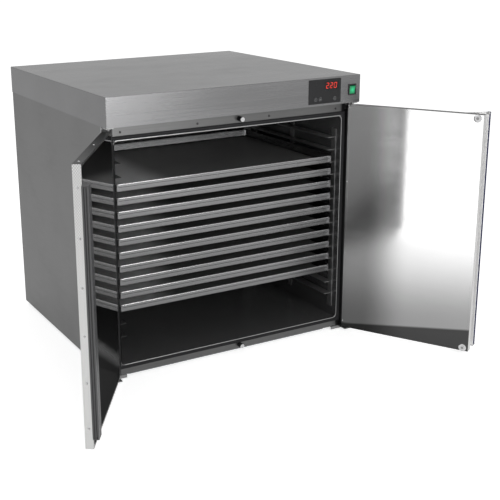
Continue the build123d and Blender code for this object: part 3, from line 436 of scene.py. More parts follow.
LEFT_TURN = HINGES["door_left_hinge"]["range_deg"][0]
RIGHT_TURN = -HINGES["door_right_hinge"]["range_deg"][0]
LEFT_PIVOT = HINGES["door_left_hinge"]["pos_m"][:2]
RIGHT_PIVOT = HINGES["door_right_hinge"]["pos_m"][:2]
# How much the grain is stretched on each axis, for brushing that runs across, front to back or upright
ACROSS, DEEP, UP = (3.0, 900.0, 900.0), (900.0, 3.0, 900.0), (900.0, 900.0, 3.0)

ROCKER_LAMP, ROCKER_GLOW = (0.3725, -0.3775, 0.7545), 0.01
# Painted light and shade across the cabinet, as (start X, end X, start tone, end tone): the cavity's back and ceiling
# and the tray floors lighter to the left, the lip's left end near black, the runners darker to the left
BACK_FADE = (-0.26, -0.12, 1.0, 0.3)
CEILING_FADE = (-0.24, -0.1, 1.0, 0.3)
LIP_FADE = (-0.362, -0.35, 0.03, 1.0)
RUNNER_FADE = (-0.35, 0.3, 0.15, 1.0)
TRAY_FADE = (-0.24, -0.14, 1.0, 0.28)

finishes = {
    "stainless_brushed": brushed_steel("stainless_brushed_cover", (0.17, 0.17, 0.172), 0.29, ACROSS, depth=0.22,
                                       edge=0.72),
    "side_sheet": brushed_steel("stainless_brushed_side", (0.165, 0.165, 0.165), 0.38, DEEP, depth=0.2),
    "back_sheet": brushed_steel("stainless_brushed_back", (0.17, 0.17, 0.172), 0.38, ACROSS, depth=0.2),
    "left_door_sheet": embossed_steel("stainless_embossed_left_door", (0.25, 0.25, 0.25), 0.36, LEFT_TURN, 0.006),
    "left_door_edge": embossed_steel("stainless_embossed_edge", (0.56, 0.56, 0.555), 0.3, LEFT_TURN, 0.0075),
    "right_door_sheet": embossed_steel("stainless_embossed_right_door", (0.25, 0.25, 0.25), 0.36, RIGHT_TURN, 0.006),
    "right_door_edge": brushed_steel("stainless_right_door_edge", (0.5, 0.5, 0.495), 0.3, UP, depth=0.6,
                                     turn_deg=RIGHT_TURN, edge=0.8),
    "pull_steel": polished_steel("stainless_pull", (0.45, 0.45, 0.448), 0.38, 20.0, 0.06, metal=0.5),
    "frame_steel": brushed_steel("frame_steel", (0.11, 0.11, 0.11), 0.33, ACROSS, depth=0.3),
    # Near-black steel: painted shade where the jambs sit back in the doorway
    "jamb_painted_shade": brushed_steel("jamb_painted_shade", (0.035, 0.035, 0.036), 0.36, UP, depth=0.3),
    "galvanised_steel": brushed_steel("galvanised_steel", (0.3, 0.31, 0.32), 0.5, (30.0, 30.0, 30.0), depth=0.7),
    "liner_steel": polished_steel("liner_steel", (0.17, 0.17, 0.172), 0.25, 6.0, 0.05, metal=0.7),
    "cavity_steel": polished_steel("cavity_steel", (0.4, 0.4, 0.4), 0.42, 6.0, 0.1, BACK_FADE, metal=0.75),
    "ceiling_steel": polished_steel("ceiling_steel", (0.85, 0.85, 0.85), 0.4, 6.0, 0.1, CEILING_FADE, metal=0.3),
    "liner_lip": polished_steel("liner_lip_steel", (0.28, 0.28, 0.28), 0.3, 30.0, 0.1, LIP_FADE, edge=0.5),
    "bracket_steel": polished_steel("bracket_steel", (0.22, 0.22, 0.22), 0.3, 40.0, 0.15),
    # Much darker steel than the cover's: painted shade along the top of each door
    "top_edge_painted_shade": brushed_steel("top_edge_painted_shade", (0.06, 0.06, 0.06), 0.3, (30.0, 30.0, 900.0), depth=0.2),
    "runner_steel": polished_steel("runner_steel", (0.34, 0.34, 0.342), 0.3, 8.0, 0.2, RUNNER_FADE, metal=0.8),
    # The linings carry painted reflection: the left one much darker all over than the right and near black at its foot,
    # the right one darker by its hinge, at its foot and in a band there
    "left_mirror": door_mirror("door_mirror_left", (0.3, 0.3, 0.3), LEFT_TURN, LEFT_PIVOT, hinge_tone=1.0,
                               foot_tone=0.06, band_tone=1.0, rise_span=(0.04, 0.1), slope=0.58, foot_metal=0.02),
    "right_mirror": door_mirror("door_mirror_right", (0.93, 0.93, 0.93), RIGHT_TURN, RIGHT_PIVOT, hinge_tone=0.36,
                                foot_tone=0.3, band_tone=0.2, rise_span=(0.04, 0.36), slope=0.14, hinge_haze=0.14),
    "tray_steel": brushed_steel("tray_steel", (0.175, 0.175, 0.177), 0.26, ACROSS, depth=0.25),
    # The bead's lighter steel is a painted highlight along each tray's rim, and the fold's near-black steel is painted
    # shade
    "tray_bead": brushed_steel("tray_bead_painted_highlight", (0.32, 0.32, 0.322), 0.24, ACROSS, depth=0.2, edge=0.8),
    "tray_fold": brushed_steel("tray_fold_painted_shade", (0.05, 0.05, 0.05), 0.4, ACROSS, depth=0.2),
    "tray_floor": polished_steel("tray_floor_steel", (0.8, 0.8, 0.802), 0.3, 6.0, 0.1, TRAY_FADE, metal=0.4),
    "grip_edge": moulded("grip_edge_plastic", (0.012, 0.014, 0.05), 0.7, 1500.0, sheen=0.05),
    # Near-white, hardly metallic steel: a painted reflection of the white surroundings on the pull's flange
    "flange_painted_reflection": polished_steel("flange_painted_reflection", (0.95, 0.95, 0.945), 0.4, 30.0, 0.05, metal=0.15),
    "bright_steel": polished_steel("bright_steel", (0.5, 0.5, 0.505), 0.16, 60.0, 0.2),
    "screw_steel": polished_steel("screw_steel", (0.25, 0.25, 0.25), 0.3, 60.0, 0.2),
    "dull_rivet": polished_steel("dull_rivet_steel", (0.04, 0.04, 0.04), 0.3, 60.0, 0.2),
    "astragal": moulded("seal_rubber_glossy", (0.055, 0.055, 0.057), 0.35, 1400.0, sheen=0.55),
    "seal_rubber": moulded("seal_rubber", (0.012, 0.012, 0.013), 0.6, 1400.0, sheen=0.2),
    "heater_silicone": moulded("heater_silicone", (0.4, 0.09, 0.04), 0.6, 900.0, 0.5),
    "mineral_wool": moulded("mineral_wool", (0.62, 0.52, 0.28), 0.95, 260.0, 1.0),
    "bush_plastic": moulded("bush_plastic", (0.8, 0.8, 0.77), 0.45),
    "handle_plastic": moulded("handle_plastic", (0.012, 0.016, 0.045), 0.32, 1500.0, 0.2),
    "panel_film": moulded("panel_film", (0.012, 0.012, 0.013), 0.42, 2200.0, 0.12, sheen=0.2),
    "display_plastic": moulded("display_plastic", (0.01, 0.009, 0.01), 0.3, 2000.0, 0.05, sheen=0.2),
    "display_light": lit("display_light", (0.5, 0.02, 0.01), (1.0, 0.04, 0.012), 0.95),
    "board_plastic": moulded("board_plastic", (0.02, 0.16, 0.06), 0.4),
    "key_plastic": moulded("key_plastic", (0.014, 0.014, 0.015), 0.4, 2000.0, 0.15, sheen=0.2),
    "switch_plastic": moulded("switch_plastic", (0.008, 0.008, 0.009), 0.22, 1800.0, 0.15),
    "rocker_lens": glowing_lens("rocker_lens", (0.01, 0.18, 0.07), (0.05, 1.0, 0.42), 0.55, ROCKER_LAMP, ROCKER_GLOW),
    "power_parts_casing": moulded("power_parts_casing", (0.06, 0.065, 0.075), 0.5),
    "print_ink": moulded("print_ink", (0.22, 0.225, 0.23), 0.5, 2500.0, 0.1),
}
finishes["door_mirror_steel"] = finishes["right_mirror"]
NODE_FINISH = {
    "side_panel_left": "side_sheet",
    "side_panel_right": "side_sheet",
    "back_panel": "back_sheet",
    "door_left_skin": "left_door_sheet",
    "door_left_liner": "left_mirror",
    "door_right_skin": "right_door_sheet",
    "door_jambs": "jamb_painted_shade",
    "hinge_brackets": "bracket_steel",
    "liner_back": "cavity_steel",
    "liner_top": "ceiling_steel",
    "pull_caps": "pull_steel",
    "pull_plate": "pull_steel",
    "tray_runners": "runner_steel",
    "rack_uprights": "runner_steel",
    "astragal": "astragal",
    "astragal_caps": "astragal",
}


def give_finish(piece, finish):
    """Puts one material on a whole piece."""
    piece.data.materials.clear()
    piece.data.materials.append(finishes[finish])


for name, node in nodes.items():
    give_finish(node, NODE_FINISH.get(name, SLOTS[name]))


# ---------------------------------------------------------------- sizes, in metres, and places

# The cabinet, with its fascia's front, the cuts in its cover and the recessed door frame
FRONT = -0.375
HALF_WIDTH = 0.4
TOP = 0.797
FASCIA_LOW = 0.717
SHEET = 0.0012
COVER_FOLD = 0.0016
PANEL_CUT = (0.22515, 0.32585)
SWITCH_CUT = (0.3599, 0.3823)
PANEL_HEIGHTS = (0.72775, 0.78705)
SWITCH_HEIGHTS = (0.7417, 0.7695)
FRAME_DEPTH = 0.04

# The doors, each measured from its hinge pin along and out from the door, and from the floor
FREE_EDGE = 0.3852
DOOR_OUTER, DOOR_INNER = -0.0155, 0.0055
DOOR_LOW, DOOR_HIGH = 0.0135, 0.708
STRIP_SHEET, STRIP_INSET = 0.0003, 0.0003
STRIP_DEPTH = DOOR_INNER - DOOR_OUTER - 2 * STRIP_INSET
BUSH_SIDE = 0.009
HEM_MIDDLE, HEM_HALVES, HEM_CORNER = (-0.1872, 0.36075), (0.1922, 0.34145), 0.009

# The doorway: half the opening's width and height, and the middle of its height
OPENING = (0.3635, 0.3151)
OPENING_MIDDLE = 0.3585
LIP_CORNER = 0.012
LIP_DEPTH, SEAL_DEPTH = 0.037, 0.0362

# Rivet heads as (radius, height), their rows as (first, last), and the magnet catches
HEADER_RIVET, HEADER_ROW, HEADER_ROW_HEIGHT = (0.0034, 0.0012), (-0.344, 0.344), 0.6965
EDGE_RIVET, EDGE_ROW = (0.0036, 0.0024), (0.067, 0.6545)
TOP_RIVET, TOP_RIVET_PLACES = (0.0032, 0.0013), (0.358, 0.177)
HEM_RIVET, HEM_ROW, HEM_ROW_ACROSS = (0.0023, 0.0012), (0.034, 0.7), 0.0079
BACK_SCREW, BACK_ROW, BACK_ROW_SIDE = (0.0036, 0.0019), (-0.375, 0.375), 0.387
CATCH_HEIGHTS = (0.023, 0.6976)
CATCH_ACROSS = 0.018
STRIKER_ACROSS = -0.3688

# The pull: how far it stands out and back from the free edge, its grip, and the flange behind the grip
PULL_REACH, PULL_TIP = 0.044, 0.005
GRIP_LENGTH, GRIP_WIDTH, GRIP_ROUND = 0.016, 0.006, 0.001
FLANGE_START, FLANGE_SHEET = 0.0155, 0.0035
FLANGE_ROOT, FLANGE_WIDTH = 0.0138, 0.0194


def door_matrix(pivot, turn_deg):
    """Places a door's own coordinates on the open door."""
    turn = math.radians(turn_deg)
    along, out = Vector((math.cos(turn), math.sin(turn), 0)), Vector((-math.sin(turn), math.cos(turn), 0))
    matrix = Matrix((along, out, Vector((0, 0, 1)))).transposed().to_4x4()
    return Matrix.Translation((*pivot, 0)) @ matrix


LEFT_DOOR = door_matrix(LEFT_PIVOT, LEFT_TURN)
RIGHT_DOOR = door_matrix(RIGHT_PIVOT, RIGHT_TURN)


# ---------------------------------------------------------------- mesh helpers

class Shape:
    """Points and faces that are gathered into one piece."""

    def __init__(self):
        self.points = []
        self.faces = []

    def add(self, points, faces):
        start = len(self.points)
        self.points += [Vector(p) for p in points]
        self.faces += [[start + corner for corner in face] for face in faces]

    def slab(self, corner, along, across, out):
        """A block from one corner and its three edges."""
        corner, along, across, out = (Vector(v) for v in (corner, along, across, out))
        base = [corner, corner + along, corner + along + across, corner + across]
        self.add(base + [p + out for p in base],
                 [(3, 2, 1, 0), (4, 5, 6, 7), (0, 1, 5, 4), (1, 2, 6, 5), (2, 3, 7, 6), (3, 0, 4, 7)])

    def lathe(self, centre, axis, profile, sides=16):
        """A turned shape: the profile's radius and height, from its foot to its flat tip."""
        centre, axis = Vector(centre), Vector(axis).normalized()
        side = axis.orthogonal().normalized()
        other = axis.cross(side)
        points, faces = [], []
        for radius, height in profile:
            for step in range(sides):
                angle = 2 * math.pi * step / sides
                points.append(centre + axis * height + (side * math.cos(angle) + other * math.sin(angle)) * radius)
        for ring in range(len(profile) - 1):
            for step in range(sides):
                low, high = ring * sides + step, ring * sides + (step + 1) % sides
                faces.append((low, high, high + sides, low + sides))
        faces.append(tuple(range((len(profile) - 1) * sides, len(profile) * sides)))
        faces.append(tuple(reversed(range(sides))))
        self.add(points, faces)

    def frame(self, profile, halves, radius, place, steps=5, closed=True):
        """A profile of (outward, depth) points, or with a corner radius of their own, led round a rectangle."""
        points, faces, count = [], [], 4 * (steps + 1)
        for outward, depth, *corner in profile:
            turn = corner[0] if corner else radius + outward
            for across, up in rounded(halves[0] + outward, halves[1] + outward, turn, steps):
                points.append(place(across, up, depth))
        rings = len(profile) if closed else len(profile) - 1
        for ring in range(rings):
            nearer, further = ring * count, (ring + 1) % len(profile) * count
            for step in range(count):
                ahead = (step + 1) % count
                faces.append((nearer + step, nearer + ahead, further + ahead, further + step))
        if not closed:
            faces.append(tuple(reversed(range(count))))
            faces.append(tuple(range(rings * count, (rings + 1) * count)))
        self.add(points, faces)

    def piece(self, name, body, slot_name, finish=None, matrix=None, sharp_deg=35):
        """Makes the gathered shape a piece that rides on a body."""
        mesh = bpy.data.meshes.new(name)
        shape = bmesh.new()
        corners = [shape.verts.new(matrix @ p if matrix else p) for p in self.points]
        for face in self.faces:
            shape.faces.new([corners[c] for c in face])
        bmesh.ops.recalc_face_normals(shape, faces=shape.faces)
        shape.to_mesh(mesh)
        shape.free()
        mesh.shade_smooth()
        mesh.set_sharp_from_angle(angle=math.radians(sharp_deg))
        made = bpy.data.objects.new(name, mesh)
        bpy.context.scene.collection.objects.link(made)
        give_finish(made, finish or slot_name)
        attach(made, body)
        return made


def rounded(half_across, half_up, radius, steps):
    """The corners of a rounded rectangle, going round it once."""
    points = []
    for side, rise, start in ((1, 1, 0), (-1, 1, 90), (-1, -1, 180), (1, -1, 270)):
        for step in range(steps + 1):
            angle = math.radians(start + 90 * step / steps)
            points.append((side * (half_across - radius) + radius * math.cos(angle),
                           rise * (half_up - radius) + radius * math.sin(angle)))
    return points


def arc(centre, radius, start_deg, end_deg, steps):
    """Points along an arc."""
    points = []
    for step in range(steps + 1):
        angle = math.radians(start_deg + (end_deg - start_deg) * step / steps)
        points.append((centre[0] + radius * math.cos(angle), centre[1] + radius * math.sin(angle)))
    return points


def soften(piece, width, segments=3, limit_deg=50):
    """Rounds a piece's folds."""
    bevel = piece.modifiers.new("rounded_folds", "BEVEL")
    bevel.width = width
    bevel.segments = segments
    bevel.limit_method = "ANGLE"
    bevel.angle_limit = math.radians(limit_deg)
    bevel.use_clamp_overlap = True


# ---------------------------------------------------------------- top cover

def make_cover():
    """The cover: one sheet folded down on four sides, with the panel and switch cut out of its fascia."""
    cuts_x = (-HALF_WIDTH, *PANEL_CUT, *SWITCH_CUT, HALF_WIDTH)
    cuts_z = (FASCIA_LOW, PANEL_HEIGHTS[0], *SWITCH_HEIGHTS, PANEL_HEIGHTS[1], TOP)
    holes = {(1, 1), (1, 2), (1, 3), (3, 2)}
    shape = bmesh.new()
    grid = [[shape.verts.new((x, FRONT, z)) for z in cuts_z] for x in cuts_x]
    for column in range(len(cuts_x) - 1):
        for row in range(len(cuts_z) - 1):
            if (column, row) not in holes:
                shape.faces.new((grid[column][row], grid[column + 1][row], grid[column + 1][row + 1],
                                 grid[column][row + 1]))
    back = {(side, z): shape.verts.new((side * HALF_WIDTH, -FRONT, z)) for side in (-1, 1) for z in (FASCIA_LOW, TOP)}
    shape.faces.new([column[-1] for column in grid] + [back[1, TOP], back[-1, TOP]])
    shape.faces.new([back[-1, FASCIA_LOW], *grid[0], back[-1, TOP]])
    shape.faces.new([back[1, TOP], *reversed(grid[-1]), back[1, FASCIA_LOW]])
    shape.faces.new([back[1, FASCIA_LOW], back[-1, FASCIA_LOW], back[-1, TOP], back[1, TOP]])
    bmesh.ops.recalc_face_normals(shape, faces=shape.faces)
    mesh = bpy.data.meshes.new("folded_cover")
    shape.to_mesh(mesh)
    shape.free()
    cover = bpy.data.objects.new("folded_cover", mesh)
    bpy.context.scene.collection.objects.link(cover)
    give_finish(cover, "stainless_brushed")
    soften(cover, COVER_FOLD)
    wall = cover.modifiers.new("sheet", "SOLIDIFY")
    wall.thickness = SHEET
    wall.offset = -1.0
    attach(cover, "cabinet")
    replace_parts(cover, "top_cover")


# ---------------------------------------------------------------- trays

TRAY_FLOOR_INSET = 0.0045
TRAY_CORNER = 0.0062
FLOOR_EDGE = -0.006
FLOOR_SHEET = 0.001
BEAD_RADIUS = 0.002
TAB_WIDTH, TAB_SHEET = 0.011, 0.0005
TAB_LEAN, TAB_HEIGHT = 0.0016, 0.0148


def make_tray(node):
    """A pressed tray: flared walls with corner tabs, its floor plate, a dark strip of painted shade along a fold line,
    and a bead round the rim in a lighter steel that is a painted highlight.
    """
    low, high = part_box(node)
    middle, base = (low + high) / 2, low.z
    halves = ((high.x - low.x) / 2 - TRAY_FLOOR_INSET, (high.y - low.y) / 2 - TRAY_FLOOR_INSET)
    inside = [(FLOOR_EDGE, FLOOR_SHEET), *arc((-0.0038, 0.0038), 0.0028, 270, 358, 4), (0.0007, 0.0186),
              (0.0009, 0.0203)]
    rolled = arc((0.0025, 0.0208), BEAD_RADIUS, 0, 330, 11)
    outside = [(0.0021, 0.0203), (0.0021, 0.0184), (0.0003, 0.0028), *arc((-0.0024, 0.0026), 0.0026, 355, 270, 3),
               (FLOOR_EDGE, 0.0)]
    # A thin dark strip along the fold line: painted shade of the fold
    fold_shade_band = [(0.001, 0.0122), (0.0017, 0.0122), (0.0018, 0.0135), (0.0012, 0.0135)]

    def place(across, along, height):
        return middle.x + across, middle.y + along, base + height

    shape = Shape()
    shape.frame(inside + outside, halves, TRAY_CORNER, place, steps=4)
    for end in (-1, 1):
        for side in (-1, 1):
            near = halves[0] - 0.0015
            foot = Vector((middle.x + side * near, middle.y + end * (halves[1] - 0.0003), base + 0.0032))
            shape.slab(foot, (-side * TAB_WIDTH, 0, 0), (0, end * TAB_LEAN, TAB_HEIGHT),
                       (0, end * (TAB_SHEET + 0.0003), 0))
    tray = shape.piece(node + "_pressed", BODY_OF[node], "tray_steel", sharp_deg=40)
    floor = Shape()
    floor.frame([(FLOOR_EDGE, 0.0), (FLOOR_EDGE, FLOOR_SHEET)], halves, TRAY_CORNER, place, steps=4, closed=False)
    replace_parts(floor.piece(node + "_floor", BODY_OF[node], "tray_steel", "tray_floor"), node)
    fold = Shape()
    fold.frame(fold_shade_band, halves, TRAY_CORNER, place, steps=4)
    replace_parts(fold.piece(node + "_fold", BODY_OF[node], "tray_steel", "tray_fold"), node)
    bead = Shape()
    bead.frame(rolled, halves, TRAY_CORNER, place, steps=4)
    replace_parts(tray, node)
    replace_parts(bead.piece(node + "_bead", BODY_OF[node], "tray_steel", "tray_bead", sharp_deg=60), node)


# ---------------------------------------------------------------- doorway

def at_depth(depth):
    """Places doorway coordinates at a depth behind the fascia's front."""
    def place(across, up, further):
        return across, FRONT + depth + further, OPENING_MIDDLE + up
    return place


def make_doorway():
    """The rounded face of the liner's lip, and the two fine ribs along the face of the door seal."""
    lip = Shape()
    face = [(0.0001, 0.0), (0.0001, -0.0003), (0.0006, -0.0005), (0.0018, -0.0005), (0.0023, -0.0003), (0.0023, 0.0)]
    lip.frame(face, OPENING, LIP_CORNER, at_depth(LIP_DEPTH), steps=8)
    # The lip's steel carries painted shade, near black at its left end
    lip.piece("opening_lip_face", "cabinet", "liner_steel", "liner_lip")
    ribs = Shape()
    for outward in (0.0052, 0.0098):
        ribs.frame([(outward + x, y) for x, y in arc((0.0, 0.0), 0.0011, 0, 300, 5)], OPENING, LIP_CORNER,
                   at_depth(SEAL_DEPTH), steps=8)
    ribs.piece("door_seal_ribs", "cabinet", "seal_rubber")


# ---------------------------------------------------------------- rivets, screws and catches

def domed(shape, centre, axis, radius, height):
    """A rivet's domed head on its thin washer."""
    rim = [(radius, 0.0), (radius, height * 0.25)]
    dome = [(radius * 0.82 * math.cos(a), height * (0.25 + 0.75 * math.sin(a))) for a in (0.0, 0.4, 0.8, 1.2, 1.45)]
    shape.lathe(centre, axis, rim + dome)


def spaced(low, high, count):
    """Evenly spaced places from one end to the other."""
    return [low + (high - low) * place / (count - 1) for place in range(count)]


def make_rivets():
    """Rivet heads on the header, on the left door's edge and top, and on the right door's hem."""
    header = Shape()
    for x in spaced(*HEADER_ROW, 4):
        domed(header, (x, FRONT + FRAME_DEPTH, HEADER_ROW_HEIGHT), (0, -1, 0), *HEADER_RIVET)
    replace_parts(header.piece("header_rivet_heads", "cabinet", "bright_steel", "dull_rivet"), "frame_rivets")
    left = Shape()
    edge_middle = (DOOR_OUTER + DOOR_INNER) / 2
    for z in spaced(*EDGE_ROW, 6):
        domed(left, (FREE_EDGE, edge_middle, z), (1, 0, 0), *EDGE_RIVET)
    for x in TOP_RIVET_PLACES:
        domed(left, (x, edge_middle, DOOR_HIGH), (0, 0, 1), *TOP_RIVET)
    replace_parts(left.piece("left_door_rivet_heads", "door_left", "bright_steel", matrix=LEFT_DOOR), "door_left_rivets")
    right = Shape()
    for z in spaced(*HEM_ROW, 4):
        domed(right, (HEM_ROW_ACROSS, DOOR_INNER, z), (0, 1, 0), *HEM_RIVET)
    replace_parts(right.piece("right_door_rivet_heads", "door_right", "bright_steel", matrix=RIGHT_DOOR),
                "door_right_rivets")


def make_catches():
    """Black sleeves round the magnets, and the wide washer and recessed screw of each striker."""
    sleeves = Shape()
    sleeve = [(0.0072, 0.0), (0.0072, 0.0125), (0.0066, 0.0138)]
    washer = [(0.0112, 0.0), (0.0112, 0.0004), (0.0106, 0.0008), (0.0072, 0.0008)]
    screw = [(0.0042, 0.0), (0.0042, 0.0002), (0.0038, 0.00025)]
    for z in CATCH_HEIGHTS:
        sleeves.lathe((CATCH_ACROSS, FRONT + FRAME_DEPTH, z), (0, -1, 0), sleeve, 24)
    sleeves.piece("catch_sleeves", "cabinet", "handle_plastic", "seal_rubber")
    washers, screws = Shape(), Shape()
    for z in CATCH_HEIGHTS:
        foot = Vector((STRIKER_ACROSS, DOOR_INNER, z))
        washers.lathe(foot, (0, 1, 0), washer, 32)
        screws.lathe(foot + Vector((0, 0.0014, 0)), (0, 1, 0), screw, 24)
    washers.piece("striker_washers", "door_right", "bright_steel", matrix=RIGHT_DOOR)
    screws.piece("striker_screws", "door_right", "bright_steel", "screw_steel", matrix=RIGHT_DOOR)


# ---------------------------------------------------------------- doors

def make_door_edges():
    """The folded edge strip that closes each door's free side."""
    for name, hand, matrix in (("left", 1, LEFT_DOOR), ("right", -1, RIGHT_DOOR)):
        strip = Shape()
        strip.slab((hand * FREE_EDGE, DOOR_OUTER + STRIP_INSET, DOOR_LOW + STRIP_INSET), (hand * STRIP_SHEET, 0, 0),
                   (0, STRIP_DEPTH, 0), (0, 0, DOOR_HIGH - DOOR_LOW - 2 * STRIP_INSET))
        strip.piece(name + "_door_edge_strip", "door_" + name, "stainless_brushed", name + "_door_edge", matrix=matrix)


def make_door_hem():
    """The right door's folded hem, polished with its lining, which it holds all round."""
    hem = Shape()

    def place(across, up, proud):
        return HEM_MIDDLE[0] + across, DOOR_INNER + proud, HEM_MIDDLE[1] + up

    hem.frame([(-0.0008, 0.0001), (-0.0008, 0.0002), (-0.0007, 0.0003), (0.0056, 0.0003, 0.0008),
               (0.0057, 0.0002, 0.0009), (0.0057, 0.0001, 0.0009)], HEM_HALVES, HEM_CORNER, place, steps=6)
    hem.piece("right_door_hem", "door_right", "door_mirror_steel", "right_mirror", matrix=RIGHT_DOOR)


def make_door_tops():
    """The folded strip along the top of each door, from the hinge bush to the free side, in a darker steel that is
    painted shade.
    """
    for name, hand, matrix in (("left", 1, LEFT_DOOR), ("right", -1, RIGHT_DOOR)):
        strip = Shape()
        strip.slab((hand * BUSH_SIDE, DOOR_OUTER + STRIP_INSET, DOOR_HIGH),
                   (hand * (FREE_EDGE - BUSH_SIDE - STRIP_INSET), 0, 0), (0, STRIP_DEPTH, 0), (0, 0, STRIP_SHEET))
        strip.piece(name + "_door_top_strip", "door_" + name, "stainless_brushed", "top_edge_painted_shade", matrix=matrix)


def make_pull():
    """The pull's steel flange, near white as a painted reflection, with a dark grip strip along its tip and dark ends
    on its caps.
    """
    low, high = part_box("pull_grip")
    tip, reach = -FREE_EDGE + PULL_TIP, DOOR_OUTER - PULL_REACH
    flange = Shape()
    flange.slab((tip + FLANGE_ROOT, reach + FLANGE_START, low.z), (-FLANGE_WIDTH, 0, 0), (0, FLANGE_SHEET, 0),
                (0, 0, high.z - low.z))
    flange_piece = flange.piece("pull_flange", "door_right", "stainless_brushed", "flange_painted_reflection", matrix=RIGHT_DOOR)
    grip = Shape()
    back = tip - GRIP_WIDTH
    profile = [(tip, reach + GRIP_LENGTH), (tip, reach + GRIP_ROUND), (tip - GRIP_ROUND, reach),
               (back + GRIP_ROUND, reach), (back, reach + GRIP_ROUND), (back, reach + GRIP_LENGTH)]
    count = len(profile)
    points = [(x, y, z) for z in (low.z, high.z) for x, y in profile]
    sides = [(i, (i + 1) % count, count + (i + 1) % count, count + i) for i in range(count)]
    grip.add(points, sides + [tuple(reversed(range(count))), tuple(range(count, 2 * count))])
    strip = grip.piece("pull_grip_strip", "door_right", "handle_plastic", "grip_edge", matrix=RIGHT_DOOR)
    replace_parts(strip, "pull_grip")
    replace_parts(flange_piece, "pull_grip")
    ends = Shape()
    for foot, tall in ((DOOR_LOW - 0.0004, low.z - DOOR_LOW + 0.0006), (high.z - 0.0002, DOOR_HIGH - high.z + 0.0006)):
        ends.slab((tip + 0.0035, reach - 0.0004, foot), (-0.0099, 0, 0), (0, 0.0084, 0), (0, 0, tall))
    soften(ends.piece("pull_cap_ends", "door_right", "handle_plastic", "grip_edge", RIGHT_DOOR), 0.0012)


# ---------------------------------------------------------------- panel marks

INK_FOOT, INK_FACE = 0.00005, -0.00008
RING_HALF, RING_CORNER, RING_LINE = 0.0044, 0.0043, 0.0005
ARC_RADIUS, ARC_LINE = 0.0016, 0.0006


def make_key_marks():
    """The printed ring and sign on each key."""
    for node in ("key_down", "key_up", "key_power"):
        low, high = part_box(node)
        x, z = (low.x + high.x) / 2, (low.z + high.z) / 2
        face = low.y

        def place(across, up, depth, x=x, z=z, face=face):
            return x + across, face + depth, z + up

        marks = Shape()
        ring = [(0.0, INK_FOOT), (0.0, INK_FACE), (RING_LINE, INK_FACE), (RING_LINE, INK_FOOT)]
        marks.frame(ring, (RING_HALF, RING_HALF), RING_CORNER, place, steps=6)
        if node == "key_power":
            marks.slab(place(-0.00025, 0.0, INK_FOOT), (0.0005, 0, 0), (0, 0, 0.0024), (0, INK_FACE - INK_FOOT, 0))
            for turn in range(-5, 6):
                angle = math.radians(270 + turn * 26)
                across, up = ARC_RADIUS * math.cos(angle), ARC_RADIUS * math.sin(angle)
                marks.slab(place(across - ARC_LINE / 2, up - ARC_LINE / 2, INK_FOOT), (ARC_LINE, 0, 0),
                           (0, 0, ARC_LINE), (0, INK_FACE - INK_FOOT, 0))
        else:
            way = 1 if node == "key_up" else -1
            arrow = ((-0.0018, -0.001), (0.0018, -0.001), (0.0, 0.0018))
            points = [place(a, way * b, d) for d in (INK_FOOT, INK_FACE) for a, b in arrow]
            marks.add(points, [(0, 1, 2), (5, 4, 3), (0, 3, 4, 1), (1, 4, 5, 2), (2, 5, 3, 0)])
        marks.piece(node + "_mark", BODY_OF[node], "key_plastic", "print_ink")


SEGMENTS = {"top": (0, 1, 1), "middle": (0, 0, 1), "bottom": (0, -1, 1), "upper_left": (-1, 0.5, 0),
            "upper_right": (1, 0.5, 0), "lower_left": (-1, -0.5, 0), "lower_right": (1, -0.5, 0)}
TWO = ("top", "upper_right", "middle", "lower_left", "bottom")
ZERO = ("top", "upper_left", "upper_right", "lower_left", "lower_right", "bottom")
DIGITS_MIDDLE = (0.2976, 0.773)
STATUS_LAMP = (0.2448, 0.7808)


def make_display():
    """Three seven-bar digits behind the window, leaning a little, and the small lamp that is off."""
    half_wide, half_tall, bar, pitch, lean = 0.004, 0.0072, 0.00062, 0.0137, 0.09
    middle_x, middle_z = DIGITS_MIDDLE
    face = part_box("display_lights")[0].y
    digits = Shape()
    for position, names in enumerate((TWO, TWO, ZERO)):
        for name in names:
            across, up, level = SEGMENTS[name]
            length = (half_wide if level else half_tall / 2) - 0.0003
            bar_points = [(-length, 0), (bar - length, bar), (length - bar, bar), (length, 0), (length - bar, -bar),
                          (bar - length, -bar)]
            outline = []
            for along, off in bar_points:
                x, z = (along, off) if level else (off, along)
                x, z = x + across * half_wide, z + up * half_tall
                outline.append((middle_x + (position - 1) * pitch + x + lean * z, middle_z + z))
            points = [(x, y, z) for y in (face + 0.0001, face - 0.00002) for x, z in outline]
            sides = [(i, (i + 1) % 6, 6 + (i + 1) % 6, 6 + i) for i in range(6)]
            digits.add(points, sides + [(5, 4, 3, 2, 1, 0), (6, 7, 8, 9, 10, 11)])
    lights = digits.piece("display_digits", "cabinet", "display_light")
    lens = Shape()
    domed(lens, (STATUS_LAMP[0], face + 0.0002, STATUS_LAMP[1]), (0, -1, 0), 0.0018, 0.0005)
    lamp = lens.piece("lamp_lens", "cabinet", "display_light", "panel_film")
    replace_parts(lights, "display_lights")
    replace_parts(lamp, "display_lights")


# ---------------------------------------------------------------- back

def make_back_screws():
    """Round-headed screws along the edges of the back panel and the cover's rear fold."""
    screws = Shape()
    low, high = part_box("back_panel")
    for x in spaced(*BACK_ROW, 6):
        for z in (low.z + 0.014, FASCIA_LOW + 0.01):
            domed(screws, (x, (-FRONT if z > FASCIA_LOW else high.y), z), (0, 1, 0), *BACK_SCREW)
    for side in (-1, 1):
        for z in spaced(low.z + 0.12, FASCIA_LOW - 0.1, 4):
            domed(screws, (side * BACK_ROW_SIDE, high.y, z), (0, 1, 0), *BACK_SCREW)
    screws.piece("back_screws", "cabinet", "bright_steel")


make_cover()
for tray_node in sorted(n for n in nodes if n.startswith("tray_") and n[5:].isdigit()):
    make_tray(tray_node)
make_doorway()
make_rivets()
make_catches()
make_door_edges()
make_door_hem()
make_door_tops()
make_pull()
make_key_marks()
make_display()
make_back_screws()


